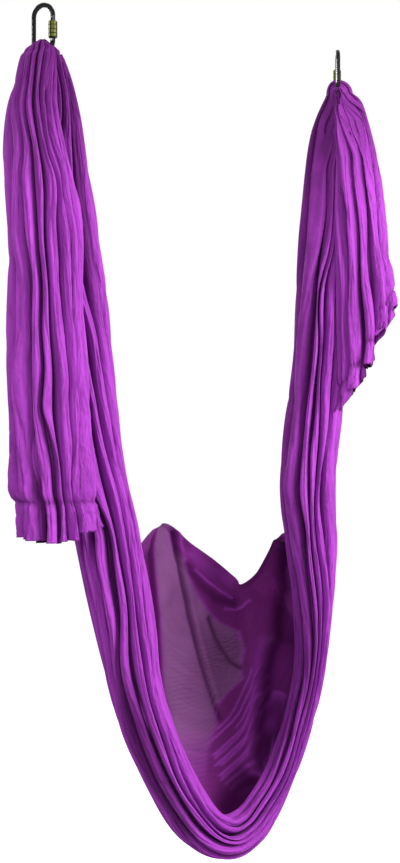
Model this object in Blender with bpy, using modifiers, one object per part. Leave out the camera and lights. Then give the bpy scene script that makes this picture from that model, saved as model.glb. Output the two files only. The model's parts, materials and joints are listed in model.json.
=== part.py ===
"""Aerial yoga hammock: one long gathered cloth that hangs in a U between two screw-lock carabiners.

Metres, +Z up. The origin is the inside of the left carabiner's crown, where the left anchor
holds it. +X runs along the line of the two anchors to the right carabiner, and +Y points
from the front roll of the seat to its back panel.

The cloth runs from the left hem up the left tail, over the bar of the left carabiner, down
the left strand, through the seat, up the right strand, over the right bar and down the
right tail to the right hem. Each stretch is a solid of its own.
"""

from math import cos, pi, radians, sin, sqrt, tau

import bmesh
import bpy
import numpy as np
from mathutils import Matrix, Vector

# Where the two carabiners hang, and how their planes are turned from +X
ANCHOR_SPACING = 0.735
LEFT_HEADING = -54.2
RIGHT_HEADING = 58.8

# Carabiner
WIRE = 0.0105
EYE_WIDTH = 0.0365
EYE_LENGTH = 0.089
GATE_DIAMETER = 0.0102
NOSE_LENGTH = 0.001
NOSE_GAP = 0.0007
HINGE_RISE = 0.0005
TOUCH = 0.0003
PIN_CLEARANCE = 0.00025

# Points closer than this are one point, and a cutter is this many times as long as its hole
MERGE = 0.00001
CUT_MARGIN = 1.3

# Latch at the nose
LATCH_THICKNESS = 0.003
LATCH_WIDTH = 0.0078
LATCH_LENGTH = 0.0075
LATCH_PIN_DIAMETER = 0.0024
FORK_DEPTH = 0.0095

# Hinge of the gate
EAR_THICKNESS = 0.004
EAR_RADIUS = 0.0032
CAM_RADIUS = 0.0036
CAM_OFFSET = 0.002
CAM_STEP = 0.00002
RIVET_DIAMETER = 0.003
RIVET_HEAD_DIAMETER = 0.0052
RIVET_HEAD_HEIGHT = 0.0008
HINGE_SLOT_HEIGHT = 0.0068

# Spring and push rod inside the gate
BORE_DIAMETER = 0.0052
BORE_LENGTH = 0.0235
SPRING_WIRE = 0.0006
SPRING_TURNS = 7
PLUNGER_DIAMETER = 0.0044
PLUNGER_STEM_DIAMETER = 0.0022
PLUNGER_HEAD_LENGTH = 0.0055
PLUNGER_STEM_LENGTH = 0.005

# Lock sleeve
SLEEVE_LENGTH = 0.035
SLEEVE_DIAMETER = 0.019
SLEEVE_BORE_DIAMETER = 0.0113
SLEEVE_START = 0.0044
SLEEVE_GROOVES = 3
SLEEVE_GROOVE_DEPTH = 0.0009
SLEEVE_GROOVE_WIDTH = 0.0016
SLEEVE_CHAMFER = 0.0016

# Cloth
SLING_DROP = 1.81
SEAT_HALF_DEPTH = 0.046
LEFT_TAIL_DROP = 1.103
LEFT_HEM_HEIGHT = 0.078
RIGHT_TAIL_DROP = 0.745
RIGHT_HEM_HEIGHT = 0.055
RIGHT_HEM_SLANT = 1.5
BUNDLE_THICKNESS = 0.0202
BUNDLE_WIDTH = 0.027
BUNDLE_SPREAD = 0.054
# Half width and half depth of the cloth where it spreads, just below the bars
LEFT_TAIL_NECK = (0.041, 0.016)
RIGHT_TAIL_NECK = (0.030, 0.023)
STRAND_NECK = (0.040, 0.014)
BAR_CLEARANCE = 0.0006
STRAIGHT_DROP = 0.012
LOOP_FOLD_DEPTH = 0.002
LOOP_EDGE = 0.0012
PANEL_THICKNESS = 0.003
PANEL_BELLY = 0.2
PANEL_FOLD_HEIGHT = 0.007
PANEL_FOLDS = 2.6
# How far across and how far out of the roll's middle the panel starts, in half widths and depths
PANEL_START = (0.45, 0.35)
# The way the panel bellies out, across the roll and away from the sitter
PANEL_OUTWARD = (0.6, 0.8)
FOLDS = 13
FOLD_DEPTH = 0.13
HEM_FOLDS = 17
HEM_FOLD_DEPTH = 0.16
HEM_STATIONS = 3

# Worked out from the sizes above
WIRE_RADIUS = WIRE / 2
BEND_RADIUS = (EYE_WIDTH + WIRE) / 2
CROWN_Z = WIRE_RADIUS - BEND_RADIUS
BAR_Z = -EYE_LENGTH - WIRE_RADIUS
FOOT_Z = BAR_Z + BEND_RADIUS
NOSE_Z = CROWN_Z - NOSE_LENGTH
HINGE_Z = FOOT_Z + HINGE_RISE
GATE_RADIUS = GATE_DIAMETER / 2
GATE_LENGTH = NOSE_Z - NOSE_GAP - HINGE_Z
TIP_RADIUS = PLUNGER_DIAMETER / 2
TIP_RISE = sqrt((CAM_RADIUS + TIP_RADIUS) ** 2 - CAM_OFFSET**2) + TOUCH
BUNDLE_INNER = WIRE_RADIUS + BAR_CLEARANCE
BUNDLE_OUTER = BUNDLE_INNER + BUNDLE_THICKNESS
BUNDLE_MIDDLE = (BUNDLE_INNER + BUNDLE_OUTER) / 2

COLLECTION = "aerial_yoga_hammock"
CUTTERS = "cutters"


def clear_scene():
    for thing in list(bpy.data.objects):
        bpy.data.objects.remove(thing)


def add_collection(name):
    made = bpy.data.collections.new(name)
    bpy.context.scene.collection.children.link(made)
    return made


def add_material(name, colour, roughness, metallic):
    made = bpy.data.materials.new(name)
    made.use_nodes = True
    shader = made.node_tree.nodes["Principled BSDF"]
    shader.inputs["Base Color"].default_value = (*colour, 1)
    shader.inputs["Roughness"].default_value = roughness
    shader.inputs["Metallic"].default_value = metallic
    return made


def add_object(name, mesh, material, parent=None, collection=COLLECTION, smooth=40):
    """The mesh as an object, under its parent empty, shaded smooth up to an edge angle."""
    thing = bpy.data.objects.new(name, mesh)
    bpy.data.collections[collection].objects.link(thing)
    if material:
        mesh.materials.append(material)
    if parent:
        thing.parent = parent
    mesh.shade_smooth()
    mesh.set_sharp_from_angle(angle=radians(smooth))
    if collection == CUTTERS:
        thing.hide_render = True
        thing.display_type = "WIRE"
    return thing


def add_empty(name, location, turn=0.0, parent=None):
    empty = bpy.data.objects.new(name, None)
    empty.location = location
    empty.rotation_euler.z = turn
    empty.parent = parent
    bpy.data.collections[COLLECTION].objects.link(empty)
    return empty


def finished(shape, name):
    """Turns a bmesh into a mesh whose faces point out."""
    bmesh.ops.recalc_face_normals(shape, faces=shape.faces)
    mesh = bpy.data.meshes.new(name)
    shape.to_mesh(mesh)
    shape.free()
    return mesh


def rod(name, radius, length, centre, along="z", sides=24):
    """A cylinder centred on a point."""
    shape = bmesh.new()
    bmesh.ops.create_cone(
        shape, cap_ends=True, segments=sides, radius1=radius, radius2=radius, depth=length
    )
    turn = {"x": Matrix.Rotation(pi / 2, 4, "Y"), "y": Matrix.Rotation(pi / 2, 4, "X"), "z": Matrix()}
    bmesh.ops.transform(shape, matrix=Matrix.Translation(centre) @ turn[along], verts=shape.verts)
    return finished(shape, name)


def block(name, size, centre):
    shape = bmesh.new()
    bmesh.ops.create_cube(shape, size=1)
    scale = Matrix.Diagonal((*size, 1))
    bmesh.ops.transform(shape, matrix=Matrix.Translation(centre) @ scale, verts=shape.verts)
    return finished(shape, name)


def ball(name, radius, centre):
    shape = bmesh.new()
    bmesh.ops.create_uvsphere(shape, u_segments=24, v_segments=12, radius=radius)
    bmesh.ops.transform(shape, matrix=Matrix.Translation(centre), verts=shape.verts)
    return finished(shape, name)


def turned(name, profile, sides, material, parent):
    """An object turned about Z from (radius, height) points, listed top to bottom outside."""
    mesh = bpy.data.meshes.new(name)
    corners = [(radius, 0, height) for radius, height in profile]
    edges = [(k, k + 1) for k in range(len(corners) - 1)]
    if profile[0][0] > 0:
        edges.append((len(corners) - 1, 0))
    mesh.from_pydata(corners, edges, [])
    thing = add_object(name, mesh, material, parent)
    screw = thing.modifiers.new("turn", "SCREW")
    screw.steps = sides
    screw.render_steps = sides
    screw.use_merge_vertices = True
    screw.merge_threshold = MERGE
    return thing


def wire(name, points, radius, resolution):
    """A bent wire through the points, as a mesh with closed ends."""
    curve = bpy.data.curves.new(name, "CURVE")
    curve.dimensions = "3D"
    curve.bevel_depth = radius
    curve.bevel_resolution = resolution
    curve.use_fill_caps = True
    spline = curve.splines.new("POLY")
    spline.points.add(len(points) - 1)
    for point, place in zip(spline.points, points):
        point.co = (*place, 1)
    holder = bpy.data.objects.new(name, curve)
    bpy.context.scene.collection.objects.link(holder)
    graph = bpy.context.evaluated_depsgraph_get()
    mesh = bpy.data.meshes.new_from_object(holder.evaluated_get(graph))
    bpy.data.objects.remove(holder)
    shape = bmesh.new()
    shape.from_mesh(mesh)
    bmesh.ops.remove_doubles(shape, verts=shape.verts, dist=MERGE)
    bpy.data.meshes.remove(mesh)
    return finished(shape, name)


def combine(thing, operation, mesh):
    """Joins the mesh to the object, or cuts it away, with a Boolean modifier."""
    other = add_object(mesh.name, mesh, None, thing.parent, CUTTERS)
    modifier = thing.modifiers.new(mesh.name, "BOOLEAN")
    modifier.operation = operation
    modifier.solver = "EXACT"
    modifier.object = other


def body_line():
    """The centre line of the carabiner's wire, from the nose over the crown to the hinge."""
    steps = 14
    points = [(BEND_RADIUS, 0, NOSE_Z)]
    for centre, start in ((CROWN_Z, 0), (FOOT_Z, pi)):
        for step in range(steps + 1):
            angle = start + pi * step / steps
            points.append((BEND_RADIUS * cos(angle), 0, centre + BEND_RADIUS * sin(angle)))
    return points


def add_carabiner(side, hang_point, heading, metals):
    """The seven pieces of one carabiner. Its plane holds Z and the heading, gate side outward."""
    bar = Vector(hang_point) + Vector((0, 0, BAR_Z))
    frame = add_empty(f"{side}_bar_axis", bar, radians(heading))
    line = [(x, y, z - BAR_Z) for x, y, z in body_line()]
    loop = wire(f"{side}_wire", line, WIRE_RADIUS, 4)
    body = add_object(f"{side}_carabiner_body", loop, metals["body"], frame)
    hinge = Vector((BEND_RADIUS, 0, HINGE_Z - BAR_Z))
    nose = Vector((BEND_RADIUS, 0, NOSE_Z - BAR_Z))
    cut = WIRE * CUT_MARGIN

    seat_radius = GATE_RADIUS + TOUCH
    combine(body, "DIFFERENCE", rod(f"{side}_hinge_seat", seat_radius, cut, hinge, "y", 32))
    foot_size = (2 * EAR_RADIUS, EAR_THICKNESS, seat_radius + WIRE_RADIUS / 2)
    foot_centre = hinge - Vector((0, 0, foot_size[2] / 2))
    combine(body, "UNION", block(f"{side}_ear_foot", foot_size, foot_centre))
    combine(body, "UNION", rod(f"{side}_ear", EAR_RADIUS, EAR_THICKNESS + CAM_STEP, hinge, "y"))
    cam_centre = hinge - Vector((CAM_OFFSET, 0, 0))
    cam = rod(f"{side}_cam", CAM_RADIUS, EAR_THICKNESS - CAM_STEP, cam_centre, "y")
    combine(body, "UNION", cam)
    hole_radius = RIVET_DIAMETER / 2 + PIN_CLEARANCE
    combine(body, "DIFFERENCE", rod(f"{side}_ear_hole", hole_radius, cut, hinge, "y", 16))

    latch_size = (LATCH_WIDTH, LATCH_THICKNESS, LATCH_LENGTH + WIRE_RADIUS)
    latch_centre = nose + Vector((0, 0, latch_size[2] / 2 - LATCH_LENGTH))
    combine(body, "UNION", block(f"{side}_latch", latch_size, latch_centre))
    pin_place = nose - Vector((0, 0, LATCH_LENGTH / 2))
    notch_size = (LATCH_WIDTH, cut, LATCH_PIN_DIAMETER + 2 * PIN_CLEARANCE)
    notch_centre = pin_place - Vector((LATCH_WIDTH / 2, 0, 0))
    combine(body, "DIFFERENCE", block(f"{side}_notch", notch_size, notch_centre))
    pin_seat = rod(f"{side}_pin_seat", notch_size[2] / 2, cut, pin_place, "y", 16)
    combine(body, "DIFFERENCE", pin_seat)

    axis = add_empty(f"{side}_gate_axis", hinge, parent=frame)
    add_gate(side, axis, metals)
    add_inner_parts(side, axis, metals["pin"])
    add_sleeve(side, axis, metals["sleeve"])


def add_gate(side, axis, metals):
    """The tube of the gate, its rivet and its latch pin, about the hinge."""
    cut = GATE_DIAMETER * CUT_MARGIN
    tube = rod(f"{side}_gate_tube", GATE_RADIUS, GATE_LENGTH, (0, 0, GATE_LENGTH / 2))
    gate = add_object(f"{side}_gate", tube, metals["body"], axis)
    combine(gate, "UNION", ball(f"{side}_gate_end", GATE_RADIUS, (0, 0, 0)))
    slot_size = (cut, EAR_THICKNESS + 2 * TOUCH, HINGE_SLOT_HEIGHT + 2 * GATE_RADIUS)
    slot_centre = (0, 0, HINGE_SLOT_HEIGHT - slot_size[2] / 2)
    combine(gate, "DIFFERENCE", block(f"{side}_hinge_slot", slot_size, slot_centre))
    fork_size = (cut, LATCH_THICKNESS + 2 * TOUCH, 2 * FORK_DEPTH)
    combine(gate, "DIFFERENCE", block(f"{side}_latch_fork", fork_size, (0, 0, GATE_LENGTH)))
    bore_centre = (0, 0, HINGE_SLOT_HEIGHT - TOUCH + BORE_LENGTH / 2)
    bore = rod(f"{side}_gate_bore", BORE_DIAMETER / 2, BORE_LENGTH, bore_centre, sides=16)
    combine(gate, "DIFFERENCE", bore)
    pin_centre = (0, 0, NOSE_Z - LATCH_LENGTH / 2 - HINGE_Z)
    pin_hole = LATCH_PIN_DIAMETER / 2 + PIN_CLEARANCE
    combine(gate, "DIFFERENCE", rod(f"{side}_pin_hole", pin_hole, cut, pin_centre, "y", 16))
    rivet_hole = RIVET_DIAMETER / 2 + PIN_CLEARANCE
    combine(gate, "DIFFERENCE", rod(f"{side}_rivet_hole", rivet_hole, cut, (0, 0, 0), "y", 16))

    pin_length = GATE_DIAMETER - 2 * TOUCH
    pin = rod(f"{side}_pin", LATCH_PIN_DIAMETER / 2, pin_length, pin_centre, "y", 12)
    add_object(f"{side}_latch_pin", pin, metals["pin"], axis)
    head_middle = GATE_RADIUS + TOUCH + RIVET_HEAD_HEIGHT / 2
    shank = rod(f"{side}_rivet", RIVET_DIAMETER / 2, 2 * head_middle, (0, 0, 0), "y", 12)
    rivet = add_object(f"{side}_gate_rivet", shank, metals["pin"], axis)
    for way, end in ((-1, "front"), (1, "rear")):
        centre = (0, way * head_middle, 0)
        name = f"{side}_rivet_{end}"
        head = rod(name, RIVET_HEAD_DIAMETER / 2, RIVET_HEAD_HEIGHT, centre, "y", 16)
        combine(rivet, "UNION", head)


def add_inner_parts(side, axis, metal):
    """The push rod that rests on the cam of the ear, and the spring above its head."""
    head_top = TIP_RISE + PLUNGER_HEAD_LENGTH
    stem_radius = PLUNGER_STEM_DIAMETER / 2
    stem_top = head_top + PLUNGER_STEM_LENGTH
    profile = [(0, stem_top), (stem_radius, stem_top), (stem_radius, head_top)]
    profile.append((TIP_RADIUS, head_top))
    tip_steps = 5
    for step in range(tip_steps):
        angle = pi / 2 * step / tip_steps
        profile.append((TIP_RADIUS * cos(angle), TIP_RISE - TIP_RADIUS * sin(angle)))
    profile.append((0, TIP_RISE - TIP_RADIUS))
    turned(f"{side}_plunger", profile, 12, metal, axis)

    bottom = head_top + SPRING_WIRE / 2 + TOUCH
    top = HINGE_SLOT_HEIGHT + BORE_LENGTH - SPRING_WIRE / 2 - 2 * TOUCH
    radius = BORE_DIAMETER / 2 - SPRING_WIRE / 2 - TOUCH
    points_a_turn = 8
    count = SPRING_TURNS * points_a_turn
    points = []
    for k in range(count + 1):
        angle = tau * k / points_a_turn
        points.append((radius * cos(angle), radius * sin(angle), lerp(bottom, top, k / count)))
    add_object(f"{side}_gate_spring", wire(f"{side}_coil", points, SPRING_WIRE / 2, 1), metal, axis)


def add_sleeve(side, axis, metal):
    """The grooved screw sleeve round the gate, run down so that the gate is unlocked."""
    outer = SLEEVE_DIAMETER / 2
    inner = SLEEVE_BORE_DIAMETER / 2
    low = SLEEVE_START
    high = SLEEVE_START + SLEEVE_LENGTH
    profile = [(inner, high), (outer - SLEEVE_CHAMFER, high)]
    profile.append((outer, high - SLEEVE_CHAMFER))
    for k in range(SLEEVE_GROOVES):
        middle = high - SLEEVE_LENGTH * (k + 1) / (SLEEVE_GROOVES + 1)
        profile.append((outer, middle + SLEEVE_GROOVE_WIDTH / 2))
        profile.append((outer - SLEEVE_GROOVE_DEPTH, middle))
        profile.append((outer, middle - SLEEVE_GROOVE_WIDTH / 2))
    profile += [(outer, low + SLEEVE_CHAMFER), (outer - SLEEVE_CHAMFER, low), (inner, low)]
    turned(f"{side}_lock_sleeve", profile, 24, metal, axis)


def lerp(start, end, share):
    return start + (end - start) * share


def unit(vector):
    return vector / np.linalg.norm(vector)


def through(stations, places):
    """The rows of numbers at fractional places along the stations, on a Catmull-Rom curve."""
    rows = np.array(stations, float)
    last = len(rows) - 1
    found = []
    for place in places:
        k = min(int(place), last - 1)
        t = place - k
        a, b, c, d = rows[max(k - 1, 0)], rows[k], rows[k + 1], rows[min(k + 2, last)]
        bend = t * t * (a - 2.5 * b + 2 * c - 0.5 * d) + t**3 * (1.5 * (b - c) + 0.5 * (d - a))
        found.append(b + 0.5 * t * (c - a) + bend)
    return np.array(found)


def section_frame(stations, place, upright=False):
    """The station at a place, and the directions along, across and into the bend there.

    An upright stretch has level sections, and any other has them square to its line.
    """
    last = len(stations) - 1
    nudge = 0.001
    spots = [place, min(place + nudge, last), max(place - nudge, 0)]
    row, ahead, behind = through(stations, spots)
    along = np.array([0, 0, -1.0]) if upright else unit(ahead[:3] - behind[:3])
    turn = radians(row[5])
    inward = unit(np.cross(along, np.array([cos(turn), sin(turn), 0.0])))
    return row, along, np.cross(inward, along), inward


def fold_outline(folds, depth):
    """(angle, share of the radius) round a bundle: flat crests, uneven, with sharp valleys."""
    outline = []
    for k in range(folds):
        start = k + 0.22 * sin(2.7 * k + 0.6)
        crest = 1 + 0.35 * depth * sin(1.9 * k + 1.1)
        outline.append((tau * start / folds, 1 - depth))
        outline.append((tau * (start + 1 / 3) / folds, crest))
        outline.append((tau * (start + 2 / 3) / folds, crest))
    return outline


def bundle_rings(stations, places, outline, grow=0.0, slide=(0.0, 0.0), upright=False):
    """Rings round a gathered stretch, at places along its stations.

    Each station is x, y, z, half width, half depth, heading of the width in degrees, and
    slant. The two slides move the first and the last ring along, which leaves a gap to a
    neighbour there.
    """
    rings = []
    for k, place in enumerate(places):
        row, along, across, inward = section_frame(stations, place, upright)
        centre = row[:3]
        if k == 0:
            centre = centre + along * slide[0]
        if k == len(places) - 1:
            centre = centre + along * slide[1]
        ring = []
        for angle, radius in outline:
            width = (row[3] + grow) * radius * cos(angle)
            depth = (row[4] + grow) * radius * sin(angle)
            lift = np.array([0, 0, row[6] * depth])
            ring.append(centre + across * width + inward * depth + lift)
        rings.append(ring)
    return rings


def loft(name, rings):
    """A closed solid through rings of points, with an end face at each end."""
    shape = bmesh.new()
    made = [[shape.verts.new(tuple(point)) for point in ring] for ring in rings]
    size = len(made[0])
    for ring, following in zip(made, made[1:]):
        for k in range(size):
            after = (k + 1) % size
            shape.faces.new((ring[k], ring[after], following[after], following[k]))
    shape.faces.new(made[0])
    shape.faces.new(made[-1])
    bmesh.ops.triangulate(shape, faces=shape.faces)
    return finished(shape, name)


def bar_frame(hang_point, heading):
    """The middle of a carabiner's bar, its direction, and the way the strand leaves it."""
    turn = radians(heading)
    middle = np.array(hang_point) + np.array([0, 0, BAR_Z])
    return middle, np.array([cos(turn), sin(turn), 0.0]), np.array([-sin(turn), cos(turn), 0.0])


def bar_rise(offset):
    """How far the inside of the bar's bend has risen at a distance from its middle."""
    inside = BEND_RADIUS - BUNDLE_INNER
    return inside - sqrt(inside**2 - min(abs(offset), inside * 0.98) ** 2)


def add_loop(side, hang_point, heading, cloth):
    """The packed cloth over the bar, from the tail's top to the strand's top."""
    middle, along_bar, to_strand = bar_frame(hang_point, heading)
    points_across = 9
    steps = 10
    rings = []
    for step in range(steps + 1):
        angle = -pi / 2 + pi * step / steps
        out = np.array([0, 0, cos(angle)]) + to_strand * sin(angle)
        half_width = lerp(BUNDLE_WIDTH, BUNDLE_SPREAD, abs(sin(angle)) ** 8) / 2
        over_bar = min(2 * cos(angle), 1)
        under, over = [], []
        for k in range(points_across):
            share = 2 * k / (points_across - 1) - 1
            offset = share * half_width
            low = BUNDLE_INNER + bar_rise(offset) * over_bar
            fold = LOOP_FOLD_DEPTH * (k % 2)
            high = lerp(BUNDLE_INNER, BUNDLE_OUTER, sqrt(1 - 0.94 * share**2)) - fold
            under.append(middle + along_bar * offset + out * low)
            over.append(middle + along_bar * offset + out * max(high, low + LOOP_EDGE))
        rings.append(under + over[::-1])
    add_object(f"{side}_loop", loft(f"{side}_loop", rings), cloth, smooth=60)


def left_tail_stations():
    rows = [
        (-0.023, -0.021, 0.070, 0.0485, 0.027, -50, 0),
        (-0.027, -0.030, 0.137, 0.060, 0.035, -44, 0),
        (-0.023, -0.033, 0.226, 0.069, 0.042, -38, 0),
        (-0.017, -0.036, 0.340, 0.073, 0.048, -34, 0),
        (-0.011, -0.040, 0.555, 0.077, 0.052, -30, 0),
        (-0.006, -0.042, 0.780, 0.082, 0.054, -29, 0),
        (0.001, -0.046, 0.950, 0.087, 0.056, -28, 0),
        (0.004, -0.047, 0.985, 0.085, 0.057, -28, 0),
        (0.011, -0.050, 1.000, 0.080, 0.056, -28, 0),
    ]
    hem_rows = [
        (0.015, -0.053, 0.25, 0.080, 0.058, -28, 0),
        (0.017, -0.054, 0.60, 0.081, 0.060, -28, 0),
        (0.019, -0.055, 1.00, 0.082, 0.063, -28, 0),
    ]
    bar = bar_frame((0.0, 0.0, 0.0), LEFT_HEADING)
    neck = (*LEFT_TAIL_NECK, LEFT_HEADING, 0)
    return tail_stations(bar, neck, rows, hem_rows, LEFT_TAIL_DROP, LEFT_HEM_HEIGHT)


def right_tail_stations():
    """The seam and the hem of this tail hang aslant, high on the outside."""
    slant = RIGHT_HEM_SLANT
    rows = [
        (0.012, -0.038, 0.080, 0.028, 0.033, 58.8, 0),
        (0.014, -0.059, 0.245, 0.036, 0.042, 58.8, 0),
        (0.015, -0.076, 0.500, 0.040, 0.052, 58.8, 0),
        (0.020, -0.085, 0.740, 0.042, 0.060, 58.8, 0.3 * slant),
        (0.023, -0.089, 0.900, 0.044, 0.064, 58.8, 0.8 * slant),
        (0.023, -0.090, 1.000, 0.044, 0.063, 58.8, slant),
    ]
    hem_rows = [
        (0.022, -0.090, 0.25, 0.045, 0.062, 58.8, slant),
        (0.020, -0.090, 0.60, 0.046, 0.060, 58.8, slant),
        (0.017, -0.089, 1.00, 0.047, 0.058, 58.8, slant),
    ]
    bar = bar_frame((ANCHOR_SPACING, 0.0, 0.0), RIGHT_HEADING)
    neck = (*RIGHT_TAIL_NECK, RIGHT_HEADING, 0)
    return tail_stations(bar, neck, rows, hem_rows, RIGHT_TAIL_DROP, RIGHT_HEM_HEIGHT)


def tail_stations(bar, neck, rows, hem_rows, drop, hem_height):
    """One station at the front of the loop, the neck below it, the rows of the tail, the hem.

    A row is the offset from the bar in x and y, the share of the way down from the bar to the
    seam or from the seam down the hem, the half width, the half depth, the heading of the
    width and the slant.
    """
    seam = hem_height - drop
    middle, _, to_strand = bar
    start = middle - to_strand * BUNDLE_MIDDLE
    spread = middle - to_strand * (BUNDLE_INNER + neck[1])
    stations = [(*start, BUNDLE_SPREAD / 2, BUNDLE_THICKNESS / 2, *neck[2:])]
    stations.append((*spread[:2], BAR_Z - STRAIGHT_DROP, *neck))
    for group, high, low in ((rows, BAR_Z, seam), (hem_rows, seam, -drop)):
        for x, y, share, *rest in group:
            stations.append((middle[0] + x, middle[1] + y, lerp(high, low, share), *rest))
    return stations


def sling_stations():
    """From the left loop down the left strand, through the seat and up to the right loop.

    A row is the share of the anchor spacing, y, the share of the way down from the bar to
    the seat, the half width, the half depth and the heading of the width.
    """
    left, _, left_way = bar_frame((0.0, 0.0, 0.0), LEFT_HEADING)
    right, _, right_way = bar_frame((ANCHOR_SPACING, 0.0, 0.0), RIGHT_HEADING)
    left_top = left + left_way * BUNDLE_MIDDLE
    right_top = right + right_way * BUNDLE_MIDDLE
    gathered = (BUNDLE_SPREAD / 2, BUNDLE_THICKNESS / 2)
    left_turn = LEFT_HEADING + 180
    seat_z = -SLING_DROP + SEAT_HALF_DEPTH
    rows = [
        (0.057, 0.023, 0.046, 0.038, 0.027, 124),
        (0.080, 0.046, 0.111, 0.054, 0.043, 122),
        (0.112, 0.056, 0.224, 0.064, 0.052, 118),
        (0.151, 0.049, 0.403, 0.076, 0.060, 112),
        (0.168, 0.037, 0.518, 0.074, 0.062, 108),
        (0.212, 0.019, 0.610, 0.070, 0.069, 104),
        (0.250, -0.008, 0.716, 0.061, 0.061, 98),
        (0.271, -0.021, 0.785, 0.059, 0.052, 95),
        (0.303, -0.040, 0.847, 0.059, 0.049, 92),
        (0.355, -0.049, 0.907, 0.060, 0.046, 90),
        (0.424, -0.054, 0.961, 0.060, 0.048, 90),
        (0.484, -0.058, 0.989, 0.060, 0.048, 90),
        (0.545, -0.060, 1.000, 0.059, SEAT_HALF_DEPTH, 90),
        (0.600, -0.062, 0.994, 0.056, 0.041, 90),
        (0.652, -0.062, 0.976, 0.053, 0.036, 90),
        (0.735, -0.062, 0.923, 0.052, 0.027, 88),
        (0.801, -0.061, 0.854, 0.054, 0.028, 85),
        (0.851, -0.054, 0.778, 0.058, 0.031, 81),
        (0.873, -0.040, 0.698, 0.066, 0.043, 77),
        (0.880, -0.018, 0.618, 0.071, 0.058, 73),
        (0.893, 0.001, 0.550, 0.070, 0.066, 70),
        (0.918, 0.007, 0.425, 0.066, 0.056, 66),
        (0.931, 0.010, 0.308, 0.060, 0.050, 63),
        (0.947, 0.014, 0.154, 0.052, 0.043, 61),
        (0.960, 0.013, 0.058, 0.038, 0.030, 59),
    ]
    stations = [(*left_top, *gathered, left_turn, 0)]
    neck_z = BAR_Z - STRAIGHT_DROP
    stations.append((*left_top[:2], neck_z, *STRAND_NECK, left_turn, 0))
    for share, y, down, *rest in rows:
        stations.append((share * ANCHOR_SPACING, y, lerp(BAR_Z, seat_z, down), *rest, 0))
    stations.append((*right_top[:2], neck_z, *STRAND_NECK, RIGHT_HEADING, 0))
    stations.append((*right_top, *gathered, RIGHT_HEADING, 0))
    return stations


# Places along the sling's stations where the strands end and the seat begins
LEFT_JOIN = 7
RIGHT_JOIN = 22


def half_places(start, end):
    return [start + k / 2 for k in range(int(2 * (end - start)) + 1)]


def add_tail(side, stations, cloth, hem_cloth):
    """A tail with its folds, and the ruffled hem below its seam."""
    last = len(stations) - 1
    seam = last - HEM_STATIONS
    outline = fold_outline(FOLDS, FOLD_DEPTH)
    places = [0] + half_places(1, seam)
    rings = bundle_rings(stations, places, outline, slide=(TOUCH, 0), upright=True)
    add_object(f"{side}_tail", loft(f"{side}_tail", rings), cloth, smooth=70)
    outline = fold_outline(HEM_FOLDS, HEM_FOLD_DEPTH)
    places = range(seam, last + 1)
    rings = bundle_rings(stations, places, outline, slide=(TOUCH, 0), upright=True)
    add_object(f"{side}_tail_hem", loft(f"{side}_tail_hem", rings), hem_cloth, smooth=70)


def panel_edge():
    """The top edge of the back panel: sling place, share of the spacing, y, share of the drop."""
    return [
        (7.1, 0.255, 0.028, 0.606),
        (7.6, 0.337, 0.037, 0.612),
        (8.4, 0.403, 0.091, 0.599),
        (9.4, 0.493, 0.146, 0.598),
        (10.8, 0.616, 0.211, 0.629),
        (12.0, 0.721, 0.238, 0.656),
        (14.4, 0.804, 0.251, 0.683),
        (16.3, 0.842, 0.247, 0.695),
        (17.8, 0.867, 0.203, 0.677),
        (19.0, 0.866, 0.155, 0.649),
        (20.4, 0.858, 0.098, 0.614),
        (21.6, 0.862, 0.045, 0.575),
    ]


def panel_points(stations):
    """A grid over the back panel, from inside the seat's roll up to the top edge."""
    seat_z = -SLING_DROP + SEAT_HALF_DEPTH
    edge = panel_edge()
    columns = 30
    rows = 9
    grid = []
    for i in range(columns + 1):
        place, share, y, down = through(edge, [(len(edge) - 1) * i / columns])[0]
        row, _, across, inward = section_frame(stations, place)
        foot = row[:3] + across * (PANEL_START[0] * row[3]) - inward * (PANEL_START[1] * row[4])
        top = np.array([share * ANCHOR_SPACING, y, lerp(BAR_Z, seat_z, down)])
        span = np.linalg.norm(top - foot)
        outward = unit(PANEL_OUTWARD[0] * across - PANEL_OUTWARD[1] * inward)
        line = []
        for j in range(rows + 1):
            s = j / rows
            belly = 4 * s * (1 - s) * PANEL_BELLY * span
            wave = sin(pi * s) * PANEL_FOLD_HEIGHT * sin(PANEL_FOLDS * tau * s + i / 4)
            line.append(lerp(foot, top, s) + outward * (belly + wave))
        grid.append(line)
    return grid


def add_panel(stations, cloth):
    """The single layer of cloth behind the seat, cut back from the bundles that it grows from."""
    shape = bmesh.new()
    made = [[shape.verts.new(tuple(point)) for point in line] for line in panel_points(stations)]
    for line, following in zip(made, made[1:]):
        for j in range(len(line) - 1):
            shape.faces.new((line[j], following[j], following[j + 1], line[j + 1]))
    panel = add_object("back_panel", finished(shape, "back_panel"), cloth, smooth=60)
    solid = panel.modifiers.new("thickness", "SOLIDIFY")
    solid.thickness = PANEL_THICKNESS
    solid.offset = 0
    outline = fold_outline(FOLDS, FOLD_DEPTH)
    last = len(stations) - 1
    stretches = (
        ("left", half_places(LEFT_JOIN - 3, LEFT_JOIN)),
        ("seat", half_places(LEFT_JOIN, RIGHT_JOIN)),
        ("right", half_places(RIGHT_JOIN, min(RIGHT_JOIN + 3, last))),
    )
    for name, places in stretches:
        rings = bundle_rings(stations, places, outline, grow=2 * TOUCH)
        combine(panel, "DIFFERENCE", loft(f"panel_{name}_cut", rings))


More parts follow.
